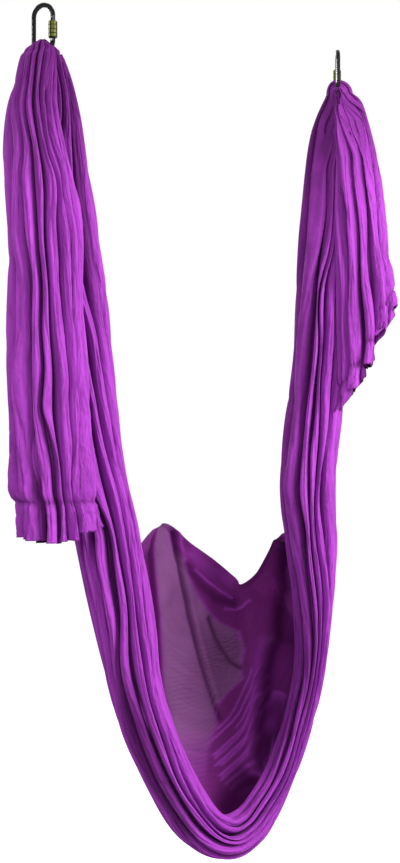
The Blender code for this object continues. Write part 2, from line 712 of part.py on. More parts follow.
def add_sling(cloth, panel_cloth):
    """The two strands, the roll of the seat and the back panel."""
    stations = sling_stations()
    last = len(stations) - 1
    outline = fold_outline(FOLDS, FOLD_DEPTH)
    gap = TOUCH / 2
    stretches = (
        ("left_strand", [0] + half_places(1, LEFT_JOIN), (TOUCH, -gap)),
        ("seat_roll", half_places(LEFT_JOIN, RIGHT_JOIN), (gap, -gap)),
        ("right_strand", half_places(RIGHT_JOIN, last - 1) + [last], (gap, -TOUCH)),
    )
    for name, places, slide in stretches:
        rings = bundle_rings(stations, places, outline, slide=slide)
        add_object(name, loft(name, rings), cloth, smooth=70)
    add_panel(stations, panel_cloth)


def build():
    clear_scene()
    add_collection(COLLECTION)
    add_collection(CUTTERS).hide_render = True
    metals = {
        "body": add_material("black_steel", (0.012, 0.012, 0.013), 0.22, 0.85),
        "pin": add_material("bare_steel", (0.45, 0.45, 0.46), 0.3, 1.0),
        "sleeve": add_material("brass_sleeve", (0.42, 0.36, 0.13), 0.3, 1.0),
    }
    cloth = add_material("purple_cloth", (0.23, 0.028, 0.27), 0.6, 0.0)
    panel_cloth = add_material("purple_panel", (0.2, 0.075, 0.21), 0.6, 0.0)
    hem_cloth = add_material("purple_hem", (0.28, 0.045, 0.36), 0.6, 0.0)

    hangs = {
        "left": ((0.0, 0.0, 0.0), LEFT_HEADING),
        "right": ((ANCHOR_SPACING, 0.0, 0.0), RIGHT_HEADING),
    }
    for side, (hang_point, heading) in hangs.items():
        add_carabiner(side, hang_point, heading, metals)
        add_loop(side, hang_point, heading, cloth)
    add_tail("left", left_tail_stations(), cloth, hem_cloth)
    add_tail("right", right_tail_stations(), cloth, hem_cloth)
    add_sling(cloth, panel_cloth)


build()
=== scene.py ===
"""The looks of the aerial yoga hammock: one wide cloth, gathered in long folds over two carabiners.

Metres, +Z up, in the frame of the CAD model. The cloth is made in pieces that share their edges:
the left hem, the left tail up to the top of its bar, the left strand, the front roll of the
seat, the panel behind it, the right strand, the right tail and the right hem. Each piece is a
sheet whose cross section is a ring of deep pleats. The pleats drift along the cloth as smooth
functions of the distance from the top of the left bar, so they run on from piece to piece.
"""

import json
from math import cos, pi, radians, sin, sqrt, tau

import bpy
import numpy as np
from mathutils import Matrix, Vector


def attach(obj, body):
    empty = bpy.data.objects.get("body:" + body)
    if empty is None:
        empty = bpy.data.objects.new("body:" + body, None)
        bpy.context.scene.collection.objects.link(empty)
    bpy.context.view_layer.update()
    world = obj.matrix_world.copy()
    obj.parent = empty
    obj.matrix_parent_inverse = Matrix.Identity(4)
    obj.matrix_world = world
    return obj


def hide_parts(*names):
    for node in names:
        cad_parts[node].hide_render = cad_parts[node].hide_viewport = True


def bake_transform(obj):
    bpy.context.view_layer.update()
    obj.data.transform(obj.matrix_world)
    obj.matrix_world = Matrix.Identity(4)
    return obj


# The photograph's camera
IMAGE_HEIGHT = 863
FOCAL_PIXELS = 1346
CAMERA_PLACE = (-1.0356, -2.6217, -0.8815)
CAMERA_TURN = -28.2
SENSOR = 36.0

# The carabiners and the loops of cloth over their bars, as in the CAD model
ANCHOR_SPACING = 0.735
HEADINGS = {"left": 125.8, "right": 58.8}
BAR_Z = -0.09425
LOOP_MIDDLE = 0.01595
LOOP_HALF_THICKNESS = 0.0101
BUNDLE_INNER = LOOP_MIDDLE - LOOP_HALF_THICKNESS
LOOP_HALF_WIDTH = 0.0135
LOOP_FRAMES = 39
# A loop widens between these angles from its top
LOOP_SPREAD_TURN = (10, 85)
# For each half loop: half width at the bar's level, then how much thicker it is on top of the
# bar and at the bar's level
LOOP_HALVES = {
    ("left", "tail"): (0.037, 0.0007, 0.0),
    ("left", "strand"): (0.031, 0.0007, 0.0),
    ("right", "strand"): (0.034, 0.0042, 0.0),
    ("right", "tail"): (0.038, 0.0042, 0.0053),
}
# On the right the bunch reaches this far along the bar in front of the wire
RIGHT_FRONT_REACH = 0.036
# How far the necks are below the bar, and a strand's half width and half depth there
NECK_DROP = 0.012
STRAND_NECK = (0.040, 0.014)

# The run of the cloth. A full slant is how much a tail's end falls for each metre inward.
SEAT_Z = -1.764
FULL_SLANT = 1.5
# The places of the hem seams, and of the two ends of the seat, along their stations
LEFT_SEAM = 10
RIGHT_SEAM = 7
LEFT_JOIN = 7
RIGHT_JOIN = 22
# Frames for each station, then the steps between rows: the most, at the hems, by the bars, and
# how fast they grow from there
STATION_FRAMES = 50
ROW_STEP = 0.008
HEM_STEP = 0.003
BAR_STEP = 0.0025
STEP_GROWTH = 0.05

# Each tail: its neck's half width and half depth, where its seam is, its hem's height, and the
# stations of the tail and of the hem. A station has x, y and share of the height, then half
# width, half depth, turn from the bar's heading and share of the full slant.
TAILS = {
    "left": ((0.043, 0.016), -1.025, 0.078, (
        (-0.025, -0.0195, 0.070, 0.047, 0.027, 4.2, 0),
        (-0.033, -0.027, 0.137, 0.054, 0.035, 10.2, 0),
        (-0.027, -0.031, 0.226, 0.0645, 0.042, 16.2, 0),
        (-0.017, -0.036, 0.340, 0.073, 0.048, 20.2, 0),
        (-0.011, -0.040, 0.555, 0.077, 0.052, 24.2, 0),
        (-0.006, -0.042, 0.780, 0.082, 0.054, 25.2, 0),
        (0.000, -0.046, 0.950, 0.087, 0.056, 26.2, 0),
        (0.003, -0.047, 0.985, 0.085, 0.057, 26.2, 0),
        (0.007, -0.049, 1.000, 0.081, 0.056, 26.2, 0),
    ), (
        (0.010, -0.051, 0.25, 0.080, 0.058, 26.2, 0),
        (0.012, -0.052, 0.60, 0.081, 0.060, 26.2, 0),
        (0.014, -0.053, 1.00, 0.083, 0.063, 26.2, 0),
    )),
    "right": ((0.030, 0.023), -0.69, 0.055, (
        (0.012, -0.038, 0.080, 0.028, 0.033, 0, 0),
        (0.014, -0.059, 0.245, 0.036, 0.042, 0, 0),
        (0.015, -0.076, 0.500, 0.040, 0.050, 0, 0.3),
        (0.019, -0.082, 0.740, 0.042, 0.054, 0, 0.65),
        (0.021, -0.086, 0.900, 0.044, 0.058, 0, 0.9),
        (0.022, -0.088, 1.000, 0.044, 0.060, 0, 1),
    ), (
        (0.022, -0.089, 0.25, 0.045, 0.061, 0, 1),
        (0.021, -0.089, 0.60, 0.046, 0.062, 0, 1),
        (0.019, -0.089, 1.00, 0.047, 0.062, 0, 1),
    )),
}
# The stations of the sling, from the left loop through the seat to the right one: share of the
# spacing, y, share of the drop, then half width, half depth and heading
SLING_ROWS = (
    (0.057, 0.023, 0.046, 0.038, 0.027, 124),
    (0.080, 0.046, 0.111, 0.054, 0.043, 122),
    (0.112, 0.056, 0.224, 0.064, 0.052, 118),
    (0.151, 0.049, 0.403, 0.076, 0.060, 112),
    (0.171, 0.037, 0.518, 0.074, 0.064, 108),
    (0.212, 0.019, 0.610, 0.070, 0.069, 104),
    (0.249, -0.008, 0.716, 0.061, 0.064, 98),
    (0.270, -0.021, 0.785, 0.059, 0.055, 95),
    (0.302, -0.040, 0.847, 0.059, 0.053, 92),
    (0.354, -0.049, 0.907, 0.060, 0.050, 90),
    (0.424, -0.054, 0.961, 0.060, 0.050, 90),
    (0.484, -0.058, 0.989, 0.060, 0.048, 90),
    (0.545, -0.060, 1.000, 0.059, 0.046, 90),
    (0.600, -0.062, 0.994, 0.056, 0.041, 90),
    (0.652, -0.062, 0.976, 0.053, 0.036, 90),
    (0.735, -0.062, 0.923, 0.052, 0.027, 88),
    (0.801, -0.061, 0.854, 0.054, 0.028, 85),
    (0.851, -0.054, 0.778, 0.058, 0.031, 81),
    (0.873, -0.040, 0.698, 0.066, 0.043, 77),
    (0.880, -0.018, 0.618, 0.071, 0.058, 73),
    (0.893, 0.001, 0.550, 0.070, 0.066, 70),
    (0.918, 0.007, 0.425, 0.066, 0.056, 66),
    (0.931, 0.010, 0.308, 0.060, 0.050, 63),
    (0.947, 0.014, 0.154, 0.052, 0.043, 61),
    (0.960, 0.013, 0.058, 0.038, 0.030, 59),
)

# The cloth as it was cut
CLOTH_WIDTH = 2.8
FOLDS = 13
ROLL_FOLDS = 10
PLEAT_DEPTH = 0.055
# Each fold is a sunk pleat, a broad pleat and a sunk pleat. These are the places of their points.
SUNK_STEPS = (0.0, 0.16, 0.33, 0.5, 0.67, 0.84)
BROAD_STEPS = (0.0, 0.08, 0.15, 0.2, *(0.24 + 0.026 * k for k in range(21)), 0.8, 0.85, 0.92)
# The width and depth of the pleats laid flat, to share the cloth out among the points
FLAT_PLEATS = ((SUNK_STEPS, 0.003, 0.02), (BROAD_STEPS, 0.02, 0.045), (SUNK_STEPS, 0.003, 0.02))
# How much the points crowd at a pleat's ends, and how steep its walls are
CROWDING = 0.95
WALL_POWER = 5
# A groove's depth as a share of the radius: the most, and its limits once it varies
MOST_SUNK = 0.9
SUNK_LIMITS = (0.1, 0.93)
# A groove fades out where its drift rises through these values, down to this share of its depth
FADE_LIMITS = (1.3, 1.9)
FADED_DEPTH = 0.08
# The share of a fold's width in each sunk pleat, and its limits
GAP = 0.1
GAP_LIMITS = (0.03, 0.26)
# How far out a sunk pleat's crest lies between its groove and the outside
SUNK_SHARE = 0.5
# A broad pleat's crest stands proud by this share, and droops towards its sides
CREST_RISE = 0.03
CREST_DROOP = 0.3
DROOP_POWER = 2.2
# How all these drift along the cloth: size, shortest and longest wave, and seed
DRIFT_WAVES = 5
GROOVE_DRIFT = (2.0, 0.1, 0.4, 24)
SUNK_DRIFT = (0.1, 0.2, 0.6, 25)
FADE_DRIFT = (1.0, 0.3, 0.8, 26)
GAP_DRIFT = (0.06, 0.3, 0.9, 27)
CREST_DRIFT = (0.03, 0.25, 0.7, 23)
TILT_DRIFT = (0.08, 0.4, 1.1, 28)
# Creases over the broad pleats: shortest and longest pitch, then run, and seed. Their height, how
# many waves make them, how narrow they are and how dark.
CREASES = ((0.01, 0.032), (0.22, 0.9), 31)
CREASE_HEIGHT = 0.0026
CREASE_WAVES = 14
CREASE_WIDTH = 0.5
CREASE_SHADE = 0.3
# They show on points between these shares of the radius, and painted shade darkens the grooves
# between the others
OUTER_RADII = (0.75, 0.95)
DEEP_RADII = (0.45, 0.96)
# Puckers by the hem seams, in the same way, with their strength far out and right at the seam
PUCKERS = ((0.008, 0.02), (0.03, 0.12), 32)
PUCKER_HEIGHT = 0.0022
PUCKER_BROAD = 0.6
PUCKER_SPAN = (0.05, 0.3)
PUCKER_NEAR = 0.7
PUCKER_LENGTH = 0.012
# How much a slanting end goes down in steps, fold by fold, how much more its far side rises, and
# where that side begins, as a sine
STEPPED = 0.95
FAR_RISE = 0.024
FAR_SIDE = (0.2, 0.7)
# The gathering thread of each hem's seam draws the cloth in by this much, over this length
SEAM_PINCH = 0.0028
SEAM_LENGTH = 0.006
# The hems: ruffles, how far they lean, the rolled edge, its height and shade, and waves of the
# lower edge as height, count round the ring and phase
RUFFLE_PITCH = 0.04
RUFFLE_HEIGHTS = {"left_hem": 0.0036, "right_hem": 0.006}
RUFFLE_LEAN = 2
HEM_EDGE = (0.95, 1.0)
HEM_ROLL = 0.0015
HEM_ROLL_SHADE = 0.75
SCALLOPS = ((0.004, 6, 1.3), (0.003, 11, 0.0))
RIGHT_HEM_WAVES = ((0.008, 7, 1),)
# The left hem rises by this much between these angles
LEFT_HEM_RISE = 0.026
HEM_RISES = (118, 150)
HEM_FALLS = (200, 260)

# The grooves between the folds, in degrees round the ring from the back over the inner side,
# for places along the stations. The roll of the seat ends at its eleventh groove.
LEFT_TOP = (104, *range(130, 439, 28))
RIGHT_TOP = (*range(60, 201, 28), 226, *range(252, 393, 28))
LEFT_FOOT = (110, 128, 140, 172, 204, 234, 264, 294, 324, 352, 388, 430, 458)
RIGHT_FOOT = (60, 78, 96, 126, 156, 188, 228, 254, 282, 308, 336, 364, 392)
LEFT_TAIL_GROOVES = (
    (0.0, *LEFT_TOP),
    (3.6, 108, 124, 136, 162, 194, 226, 258, 290, 322, 356, 394, 432, 447),
    (4.8, 105, 128, 141, 158, 190, 224, 258, 292, 324, 354, 386, 420, 444),
    (6.0, 101, 130, 150, 176, 204, 232, 262, 292, 322, 352, 388, 428, 447),
    (7.0, 108, 132, 148, 176, 204, 232, 262, 292, 322, 350, 386, 426, 446),
    (8.0, *LEFT_FOOT),
    (13.0, *LEFT_FOOT),
)
SLING_GROOVES = (
    (0.0, *LEFT_TOP),
    (3.4, 114, 144, 176, 212, 238, 262, 286, 312, 338, 364, 390, 416, 444),
    (4.4, 104, 134, 166, 203, 230, 254, 278, 302, 328, 354, 380, 406, 434),
    (5.6, 78, 110, 140, 170, 194, 215, 242, 268, 294, 318, 344, 372, 402),
    (6.8, 62, 100, 130, 156, 174, 198, 220, 248, 273, 297, 321, 347, 384),
    (7.7, 58, 100, 132, 160, 180, 197, 222, 250, 275, 299, 322, 346, 384),
    (9.2, 58, 98, 130, 161, 180, 209, 250, 270, 288, 305, 322, 350, 386),
    (11.0, 58, 98, 130, 164, 178, 199, 240, 262, 283, 303, 322, 352, 386),
    (13.0, 58, 96, 132, 160, 176, 190, 226, 252, 277, 300, 322, 352, 386),
    (17.0, 58, 90, 122, 150, 166, 182, 214, 246, 274, 299, 322, 352, 386),
    (20.4, 58, 74, 90, 148, 165, 178, 204, 248, 275, 299, 322, 352, 386),
    (22.3, 60, 75, 90, 141, 165, 182, 200, 262, 284, 306, 330, 356, 388),
    (24.1, 60, 78, 98, 165, 177, 189, 228, 266, 290, 314, 340, 366, 392),
    (25.0, 60, 84, 114, 181, 197, 214, 243, 272, 296, 320, 344, 368, 394),
    (28.0, *RIGHT_TOP),
)
RIGHT_TAIL_GROOVES = (
    (0.0, *RIGHT_TOP),
    (2.3, 60, 80, 102, 126, 146, 162, 250, 268, 290, 314, 340, 366, 392),
    (3.5, 60, 80, 98, 126, 150, 176, 240, 262, 286, 312, 338, 364, 392),
    (5.2, *RIGHT_FOOT),
    (10.0, *RIGHT_FOOT),
)
# How many rows are read from each table
GROOVE_STEPS = 600

# Folds that lie lower than their neighbours, in their shade: the piece, the fold, the first and
# last place along the stations, how much lower, and how dark
SHADED_FOLDS = (
    ("left_strand", 2, 1.8, 4.4, 0.2, 0.85),
    ("left_strand", 1, 1.4, 2.6, 0.0, 0.4),
    ("seat", 5, 9.2, 12.0, 0.05, 0.7),
    ("seat", 6, 8.9, 12.4, 0.05, 0.78),
    ("seat", 0, 17.0, 24.0, 0.0, 0.5),
    ("seat", 1, 17.4, 24.0, 0.0, 0.5),
    ("seat", 2, 18.0, 24.0, 0.0, 0.42),
    ("right_strand", 0, 20.0, 27.4, 0.0, 0.5),
    ("right_strand", 1, 20.0, 27.4, 0.0, 0.5),
    ("right_strand", 2, 20.0, 27.4, 0.0, 0.42),
)
SHADE_FADE = 0.7

# The right strand and tail by their bar. Spans are distances from the top of the bar.
# How far each moves towards the other and thickens, and where this begins and ends
CLOSING = 0.004
CLOSING_START = (0.03, 0.12)
CLOSING_END = (0.75, 0.95)
# How much of the way their near ends bend towards each other in front of the wire, and the most
HOOK = 0.95
HOOK_SPAN = (0.15, 0.5)
HOOK_LIMITS = (0.12, 0.02)
HOOK_LIMIT_SPAN = (0.06, 0.22)
# The share of the half width at which the bend starts, at the bar and farther down, and ends
HOOK_FROM = (0.15, 0.6)
HOOK_FROM_SPAN = (0.04, 0.12)
HOOK_TO = 0.97
# The grooves this many degrees from the near end fade out in front of the wire, and how far
# down the bunch keeps its reach there
NEAR_ANGLE = 180
SMOOTH_ANGLE = 65
SMOOTH_SPAN = (0.03, 0.09)
FRONT_SPAN = (0.02, 0.045)

# The panel: how far it bellies out and which way, and its rows and columns
PANEL_BELLY = 0.2
PANEL_OUTWARD = (0.6, 0.8)
PANEL_ROW_STEP = 0.003
PANEL_COLUMNS = 188
# It opens and closes between these places of the sling
PANEL_OPENS = (7.0, 8.6)
PANEL_CLOSES = (20.0, 22.0)
# Its top edge: place of the sling, share of the spacing, y, share of the drop
PANEL_EDGE = (
    (7.1, 0.255, 0.028, 0.606),
    (7.6, 0.337, 0.037, 0.612),
    (8.4, 0.403, 0.091, 0.599),
    (9.4, 0.493, 0.146, 0.598),
    (10.8, 0.616, 0.211, 0.629),
    (12.0, 0.721, 0.238, 0.656),
    (14.4, 0.804, 0.251, 0.683),
    (16.3, 0.842, 0.247, 0.695),
    (17.8, 0.867, 0.203, 0.677),
    (19.0, 0.866, 0.155, 0.649),
    (20.4, 0.858, 0.098, 0.614),
    (21.6, 0.862, 0.045, 0.575),
)
# How many rows are read from this table
EDGE_STEPS = 400
# Its creases and ridges: half width, height, how dark their painted shade or how light their
# painted highlight is, then places as x and z
PANEL_LINES = (
    (0.006, -0.006, 0.9, (
        (0.384, -1.114), (0.428, -1.193), (0.461, -1.286), (0.481, -1.375), (0.502, -1.461),
        (0.513, -1.505), (0.526, -1.569),
    )),
    (0.018, -0.006, 0.95, (
        (0.306, -1.130), (0.336, -1.200), (0.356, -1.277), (0.373, -1.399), (0.374, -1.510),
        (0.376, -1.596),
    )),
    (0.009, 0.006, -0.2, (
        (0.396, -1.112), (0.441, -1.193), (0.475, -1.286), (0.496, -1.375), (0.518, -1.461),
        (0.530, -1.520),
    )),
    (0.003, 0.004, -0.95, ((0.479, -1.214), (0.519, -1.245), (0.556, -1.271), (0.591, -1.290))),
    (0.012, -0.004, 0.6, ((0.452, -1.200), (0.500, -1.252), (0.545, -1.290), (0.600, -1.305))),
    (0.003, 0.004, -0.8, ((0.570, -1.315), (0.600, -1.319), (0.621, -1.313), (0.637, -1.296))),
    (0.006, -0.006, 0.8, ((0.527, -1.335), (0.545, -1.385), (0.577, -1.439), (0.601, -1.457))),
    (0.020, 0.003, -0.35, ((0.464, -1.173), (0.527, -1.212), (0.580, -1.245))),
    (0.009, -0.012, 1.0, (
        (0.652, -1.149), (0.675, -1.261), (0.672, -1.386), (0.635, -1.524), (0.597, -1.609),
        (0.560, -1.670),
    )),
    (0.014, 0.008, -0.4, ((0.660, -1.400), (0.640, -1.470), (0.612, -1.560), (0.575, -1.640))),
    (0.024, -0.005, 1.0, ((0.450, -1.735), (0.490, -1.715), (0.535, -1.688))),
)
# A fan of fine ridges at its foot: the middle one, then each one's shift, first and last share of
# the middle one's length, height and how light its painted highlight is
FAN_RIDGE = ((0.648, -1.453), (0.632, -1.484), (0.612, -1.514), (0.590, -1.543), (0.563, -1.572),
             (0.516, -1.600), (0.476, -1.619))
FAN_STEPS = (
    (0.000, 0.000, 0.00, 1.00, 0.0050, -0.95),
    (-0.012, 0.006, 0.10, 0.80, 0.0024, -0.72),
    (0.004, -0.013, 0.05, 0.70, 0.0042, -0.74),
    (0.006, -0.024, 0.12, 1.00, 0.0040, -0.92),
    (0.000, -0.034, 0.30, 0.95, 0.0022, -0.74),
    (0.005, -0.044, 0.05, 1.00, 0.0042, -0.95),
    (-0.002, -0.054, 0.35, 0.90, 0.0024, -0.78),
    (0.004, -0.064, 0.15, 1.00, 0.0032, -0.86),
    (-0.004, -0.074, 0.40, 0.95, 0.0022, -0.74),
    (0.000, -0.083, 0.10, 0.95, 0.0040, -0.94),
    (-0.006, -0.095, 0.35, 0.90, 0.0024, -0.78),
    (-0.004, -0.106, 0.15, 0.90, 0.0034, -0.88),
    (-0.012, -0.118, 0.20, 0.85, 0.0036, -0.92),
)
# Their half width, and the points along each
FAN_WIDTH = 0.0024
FAN_POINTS = 11
# Where it is a single layer that light comes through, with painted light: z, then the lowest and
# highest x
THIN_SPAN = (
    (-1.70, 0.410, 0.430),
    (-1.62, 0.390, 0.480),
    (-1.585, 0.388, 0.512),
    (-1.545, 0.387, 0.518),
    (-1.515, 0.387, 0.555),
    (-1.485, 0.387, 0.602),
    (-1.46, 0.388, 0.601),
    (-1.415, 0.389, 0.617),
    (-1.37, 0.388, 0.607),
    (-1.345, 0.385, 0.554),
    (-1.31, 0.380, 0.517),
    (-1.245, 0.365, 0.475),
    (-1.18, 0.345, 0.437),
    (-1.15, 0.335, 0.400),
    (-1.10, 0.330, 0.370),
)
THIN_SOFTNESS = 0.009
THIN_ENDS = (-1.74, -1.56)
# How far the layer that hangs double stands proud of the single one, and the rolled top edge
DOUBLE_STEP = 0.005
ROLLED_EDGE = 0.004
ROLLED_SPAN = (0.975, 1.0)
# Its ripples: their pitch, height and shade, and a second set's share, pitch share and turn
RIPPLE_PITCH = 0.0098
RIPPLE_HEIGHT = 0.0024
RIPPLE_SHADE = 0.6
FIRST_RIPPLE = 0.65
SECOND_RIPPLE = (0.35, 1.63, 9)
# They turn up towards the right strand from this x on, between these heights
RIPPLE_TURN = (0.46, 5.6)
RIPPLE_TURN_Z = (-1.42, -1.54)
# They waver: height of each wave, with its turns for each metre of x and z
RIPPLE_WAVER = ((0.0025, 38, 25), (0.0015, 95, -60))
# How strong they are: over and under these heights, right of this x, and in the double part
RIPPLE_STRENGTHS = (0.15, 0.6)
RIPPLE_STRENGTH_Z = (-1.3, -1.5)
RIPPLE_RIGHT = (0.46, 0.52)
RIPPLE_RIGHT_Z = (-1.33, -1.4)
RIPPLE_DOUBLE = 0.6
# They stop towards the right strand, and come and go over the panel
RIPPLE_STOP = (0.6, 0.65)
RIPPLE_MEAN = 0.7
RIPPLE_SWELL = ((0.3, 21, -33),)

# The cloth's materials: the colour as it is, the colour with painted light where one layer lets
# light through, the colour with painted shade where it hangs double and the layers behind it shade
# it, and how strong the crinkles are
PURPLE = (0.39, 0.055, 0.485, 1)
HEM_PURPLE = (0.39, 0.056, 0.485, 1)
CLOTH_LOOKS = {
    "cloth": (PURPLE, PURPLE, PURPLE, 1.8),
    "hem": (HEM_PURPLE, HEM_PURPLE, HEM_PURPLE, 1.9),
    "panel": (PURPLE, (0.225, 0.078, 0.23, 1), (0.165, 0.019, 0.165, 1), 0.3),
}
# The painted shade deep in a groove: its colour, and how much of it the deepest points take
GROOVE_SHADE_COLOUR = (0.04, 0.001, 0.042, 1)
GROOVE_SHADE_SHARE = 0.92
# Painted shade on the tightly packed cloth just under the bars: how much darker it is, and how far
# down
PACKED_SHADE = 0.6
PACKED_SPAN = (0.03, 0.4)
# The weave: the noise of its crinkles and cross creases, as scale, detail and roughness, then its
# knit, each with its height
CRINKLES = ((110, 10, 1), 3.0, 0.6)
CRINKLE_HEIGHT = 0.0042
CROSS_CREASES = ((150, 60, 1), 2.0, 0.5)
CROSS_HEIGHT = 0.0013
KNIT = {"Scale": 120.0, "Distortion": 1.5, "Detail": 1.0, "Detail Scale": 3.0}
KNIT_HEIGHT = 0.00006
# Painted shade over a crinkle, darker in its low parts, as places and tones
CRINKLE_SHADE_TONES = ((0.3, (0.8, 0.76, 0.82, 1)), (0.7, (1, 1, 1, 1)))
CLOTH_FINISH = {
    "Roughness": 0.58,
    "Specular IOR Level": 0.05,
    "Sheen Weight": 0.12,
    "Sheen Roughness": 0.4,
    "Sheen Tint": (0.8, 0.3, 1.0, 1),
}
# The metals: colour, roughness, metallic and depth of the turning marks
METALS = {
    "black_steel": ((0.002, 0.002, 0.0022), 0.14, 0.0, 0.000002),
    "bare_steel": ((0.5, 0.5, 0.51), 0.3, 1.0, 0.00002),
    "brass_sleeve": ((0.04, 0.042, 0.012), 0.3, 1.0, 0.00001),
}
# The noise of those marks and of the patches of wear
MARKS = ((400, 400, 2500), 2.0, 0.5)
PATCHES = ((120, 120, 120), 3.0, 0.5)
METAL_SPECULAR = 0.2
# How the metals' roughness and colour vary over the patches
ROUGHNESS_SPREAD = (0.75, 1.35)
COLOUR_SPREAD = (0.8, 1.15)

# The CAD nodes that each piece of cloth takes the place of
CAD_NODES = {
    "left_tail": ("left_tail",),
    "left_hem": ("left_tail_hem",),
    "left_strand": ("left_strand", "left_loop"),
    "seat": ("seat_roll",),
    "right_strand": ("right_strand", "right_loop"),
    "right_tail": ("right_tail",),
    "right_hem": ("right_tail_hem",),
}

# The share of white light that comes from all round
AMBIENT = 0.24

# The floor, and how brightly it shows to the camera
FLOOR_Z = -2.15
FLOOR_HALF_SIZE = 12.0
FLOOR_COLOUR = (0.4, 0.4, 0.4, 1)
FLOOR_GLOW = 0.9

# Each lamp's place, what it points at, its size and its power
MIDDLE = (0.37, 0.0, -0.9)
LAMPS = {
    "key": ((1.8, -2.6, 0.4), MIDDLE, 1.6, 164),
    "fill": ((-1.8, -3.0, 0.7), MIDDLE, 2.2, 86),
    "rim": ((-1.8, 1.2, 0.58), (0, 0, -0.1), 0.15, 28),
    "rear": ((0.6, 2.8, 0.6), MIDDLE, 1.8, 40),
}


def lerp(start, end, share):
    return start + (end - start) * share


def ease(span, value):
    """Rises smoothly from 0 at the start of the span to 1 at its end."""
    low, high = span
    share = np.clip((value - low) / (high - low), 0, 1)
    return share * share * (3 - 2 * share)


def between(rise, fall, value):
    """1 after the rise and before the fall, each a start and an end, and 0 outside."""
    return ease(rise, value) * (1 - ease(fall, value))


def bell(value):
    """1 at 0, falling smoothly to nothing on both sides."""
    return np.exp(-(value**2))


def unit(rows):
    """Rows of vectors, each with length 1."""
    return rows / np.linalg.norm(rows, axis=-1, keepdims=True)


def through(rows, places):
    """The rows of numbers at fractional places along them, on a Catmull-Rom curve."""
    rows = np.array(rows, float)
    places = np.asarray(places, float)
    last = len(rows) - 1
    k = np.minimum(places.astype(int), last - 1)
    t = (places - k)[:, None]
    a, b = rows[np.maximum(k - 1, 0)], rows[k]
    c, d = rows[k + 1], rows[np.minimum(k + 2, last)]
    bend = t * t * (a - 2.5 * b + 2 * c - 0.5 * d) + t**3 * (1.5 * (b - c) + 0.5 * (d - a))
    return b + 0.5 * t * (c - a) + bend


def drift(reach, count, size, shortest, longest, seed):
    """Smooth random curves along the cloth, one for each of count folds."""
    rng = np.random.default_rng(seed)
    total = np.zeros((len(reach), count))
    for _ in range(DRIFT_WAVES):
        length = rng.uniform(shortest, longest, count)
        total += np.sin(tau * reach[:, None] / length + rng.uniform(0, tau, count))
    return size * (total / sqrt(DRIFT_WAVES / 2))


def bar_frame(side):
    """The bar's middle, its direction, and the way the strand leaves it."""
    left = side == "left"
    turn = radians(HEADINGS[side])
    middle = np.array([0 if left else ANCHOR_SPACING, 0, BAR_Z])
    along_bar = np.array([cos(turn), sin(turn), 0.0])
    to_strand = np.array([sin(turn), -cos(turn), 0.0])
    return middle, along_bar, to_strand if left else -to_strand


def tail_stations(side):
    """The front of the loop, the neck below it, the rows of the tail, then the hem."""
    neck, seam_z, hem_height, rows, hem = TAILS[side]
    middle, _, to_strand = bar_frame(side)
    half_width, _, swell = LOOP_HALVES[side, "tail"]
    start = middle - to_strand * (LOOP_MIDDLE + swell)
    spread = middle - to_strand * (BUNDLE_INNER + neck[1])
    heading = HEADINGS[side]
    stations = [(*start, half_width, LOOP_HALF_THICKNESS + swell, heading, 0)]
    stations.append((*spread[:2], BAR_Z - NECK_DROP, *neck, heading, 0))
    for group, high, low in ((rows, BAR_Z, seam_z), (hem, seam_z, seam_z - hem_height)):
        for x, y, share, *halves, turn, slant in group:
            centre = (middle[0] + x, middle[1] + y, lerp(high, low, share))
            stations.append((*centre, *halves, heading + turn, slant * FULL_SLANT))
    return stations


def strand_top(side):
    """The stations at the top of a strand: in the loop over the bar, and at the neck below it."""
    middle, _, way = bar_frame(side)
    top = middle + way * LOOP_MIDDLE
    ending = (HEADINGS[side], 0)
    loop = (*top, LOOP_HALVES[side, "strand"][0], LOOP_HALF_THICKNESS, *ending)
    return loop, (*top[:2], BAR_Z - NECK_DROP, *STRAND_NECK, *ending)


def sling_stations():
    """From the top of the left loop through the seat to the top of the right one."""
    stations = list(strand_top("left"))
    for share, y, down, *rest in SLING_ROWS:
        stations.append((share * ANCHOR_SPACING, y, lerp(BAR_Z, SEAT_Z, down), *rest, 0))
    return [*stations, *reversed(strand_top("right"))]


def half_loop(side, part, place=0):
    """Dense frames from the top of the bar's loop down to the bar's level, on one side of it."""
    middle, along_bar, to_strand = bar_frame(side)
    way = to_strand if part == "strand" else -to_strand
    turn = np.linspace(0, 90, LOOP_FRAMES + 1)[:-1]
    up = np.array([0, 0, 1.0])
    inward = np.outer(np.cos(np.radians(turn)), up) + np.outer(np.sin(np.radians(turn)), way)
    spread, *swells = LOOP_HALVES[side, part]
    width = lerp(LOOP_HALF_WIDTH, spread, ease(LOOP_SPREAD_TURN, turn))[:, None]
    swell = lerp(*swells, ease((0, 90), turn))[:, None]
    return {
        "centre": middle + inward * (LOOP_MIDDLE + swell),
        "across": np.tile(along_bar, (len(turn), 1)),
        "inward": inward,
        "width": width,
        "depth": LOOP_HALF_THICKNESS + swell,
        "slant": np.zeros((len(turn), 1)),
        "place": np.full((len(turn), 1), float(place)),
    }


def station_frames(stations, upright):
    """Dense frames along the stations, level where upright is 1 or -1, else square to the run."""
    last = len(stations) - 1
    places = np.linspace(0, last, last * STATION_FRAMES + 1)
    rows = through(stations, places)
    centre = rows[:, :3]
    turn = np.radians(rows[:, 5])
    width_way = np.stack([np.cos(turn), np.sin(turn), np.zeros(len(turn))], 1)
    if upright:
        along = np.tile([0, 0, float(upright)], (len(rows), 1))
    else:
        along = unit(np.gradient(centre, axis=0))
    inward = unit(np.cross(along, width_way))
    return {
        "centre": centre,
        "across": np.cross(inward, along),
        "inward": inward,
        "width": rows[:, 3:4],
        "depth": rows[:, 4:5],
        "slant": rows[:, 6:7],
        "place": places[:, None],
    }


def joined(*runs):
    return {key: np.concatenate([run[key] for run in runs]) for key in runs[0]}


def turned_round(run):
    return {key: rows[::-1] for key, rows in run.items()}


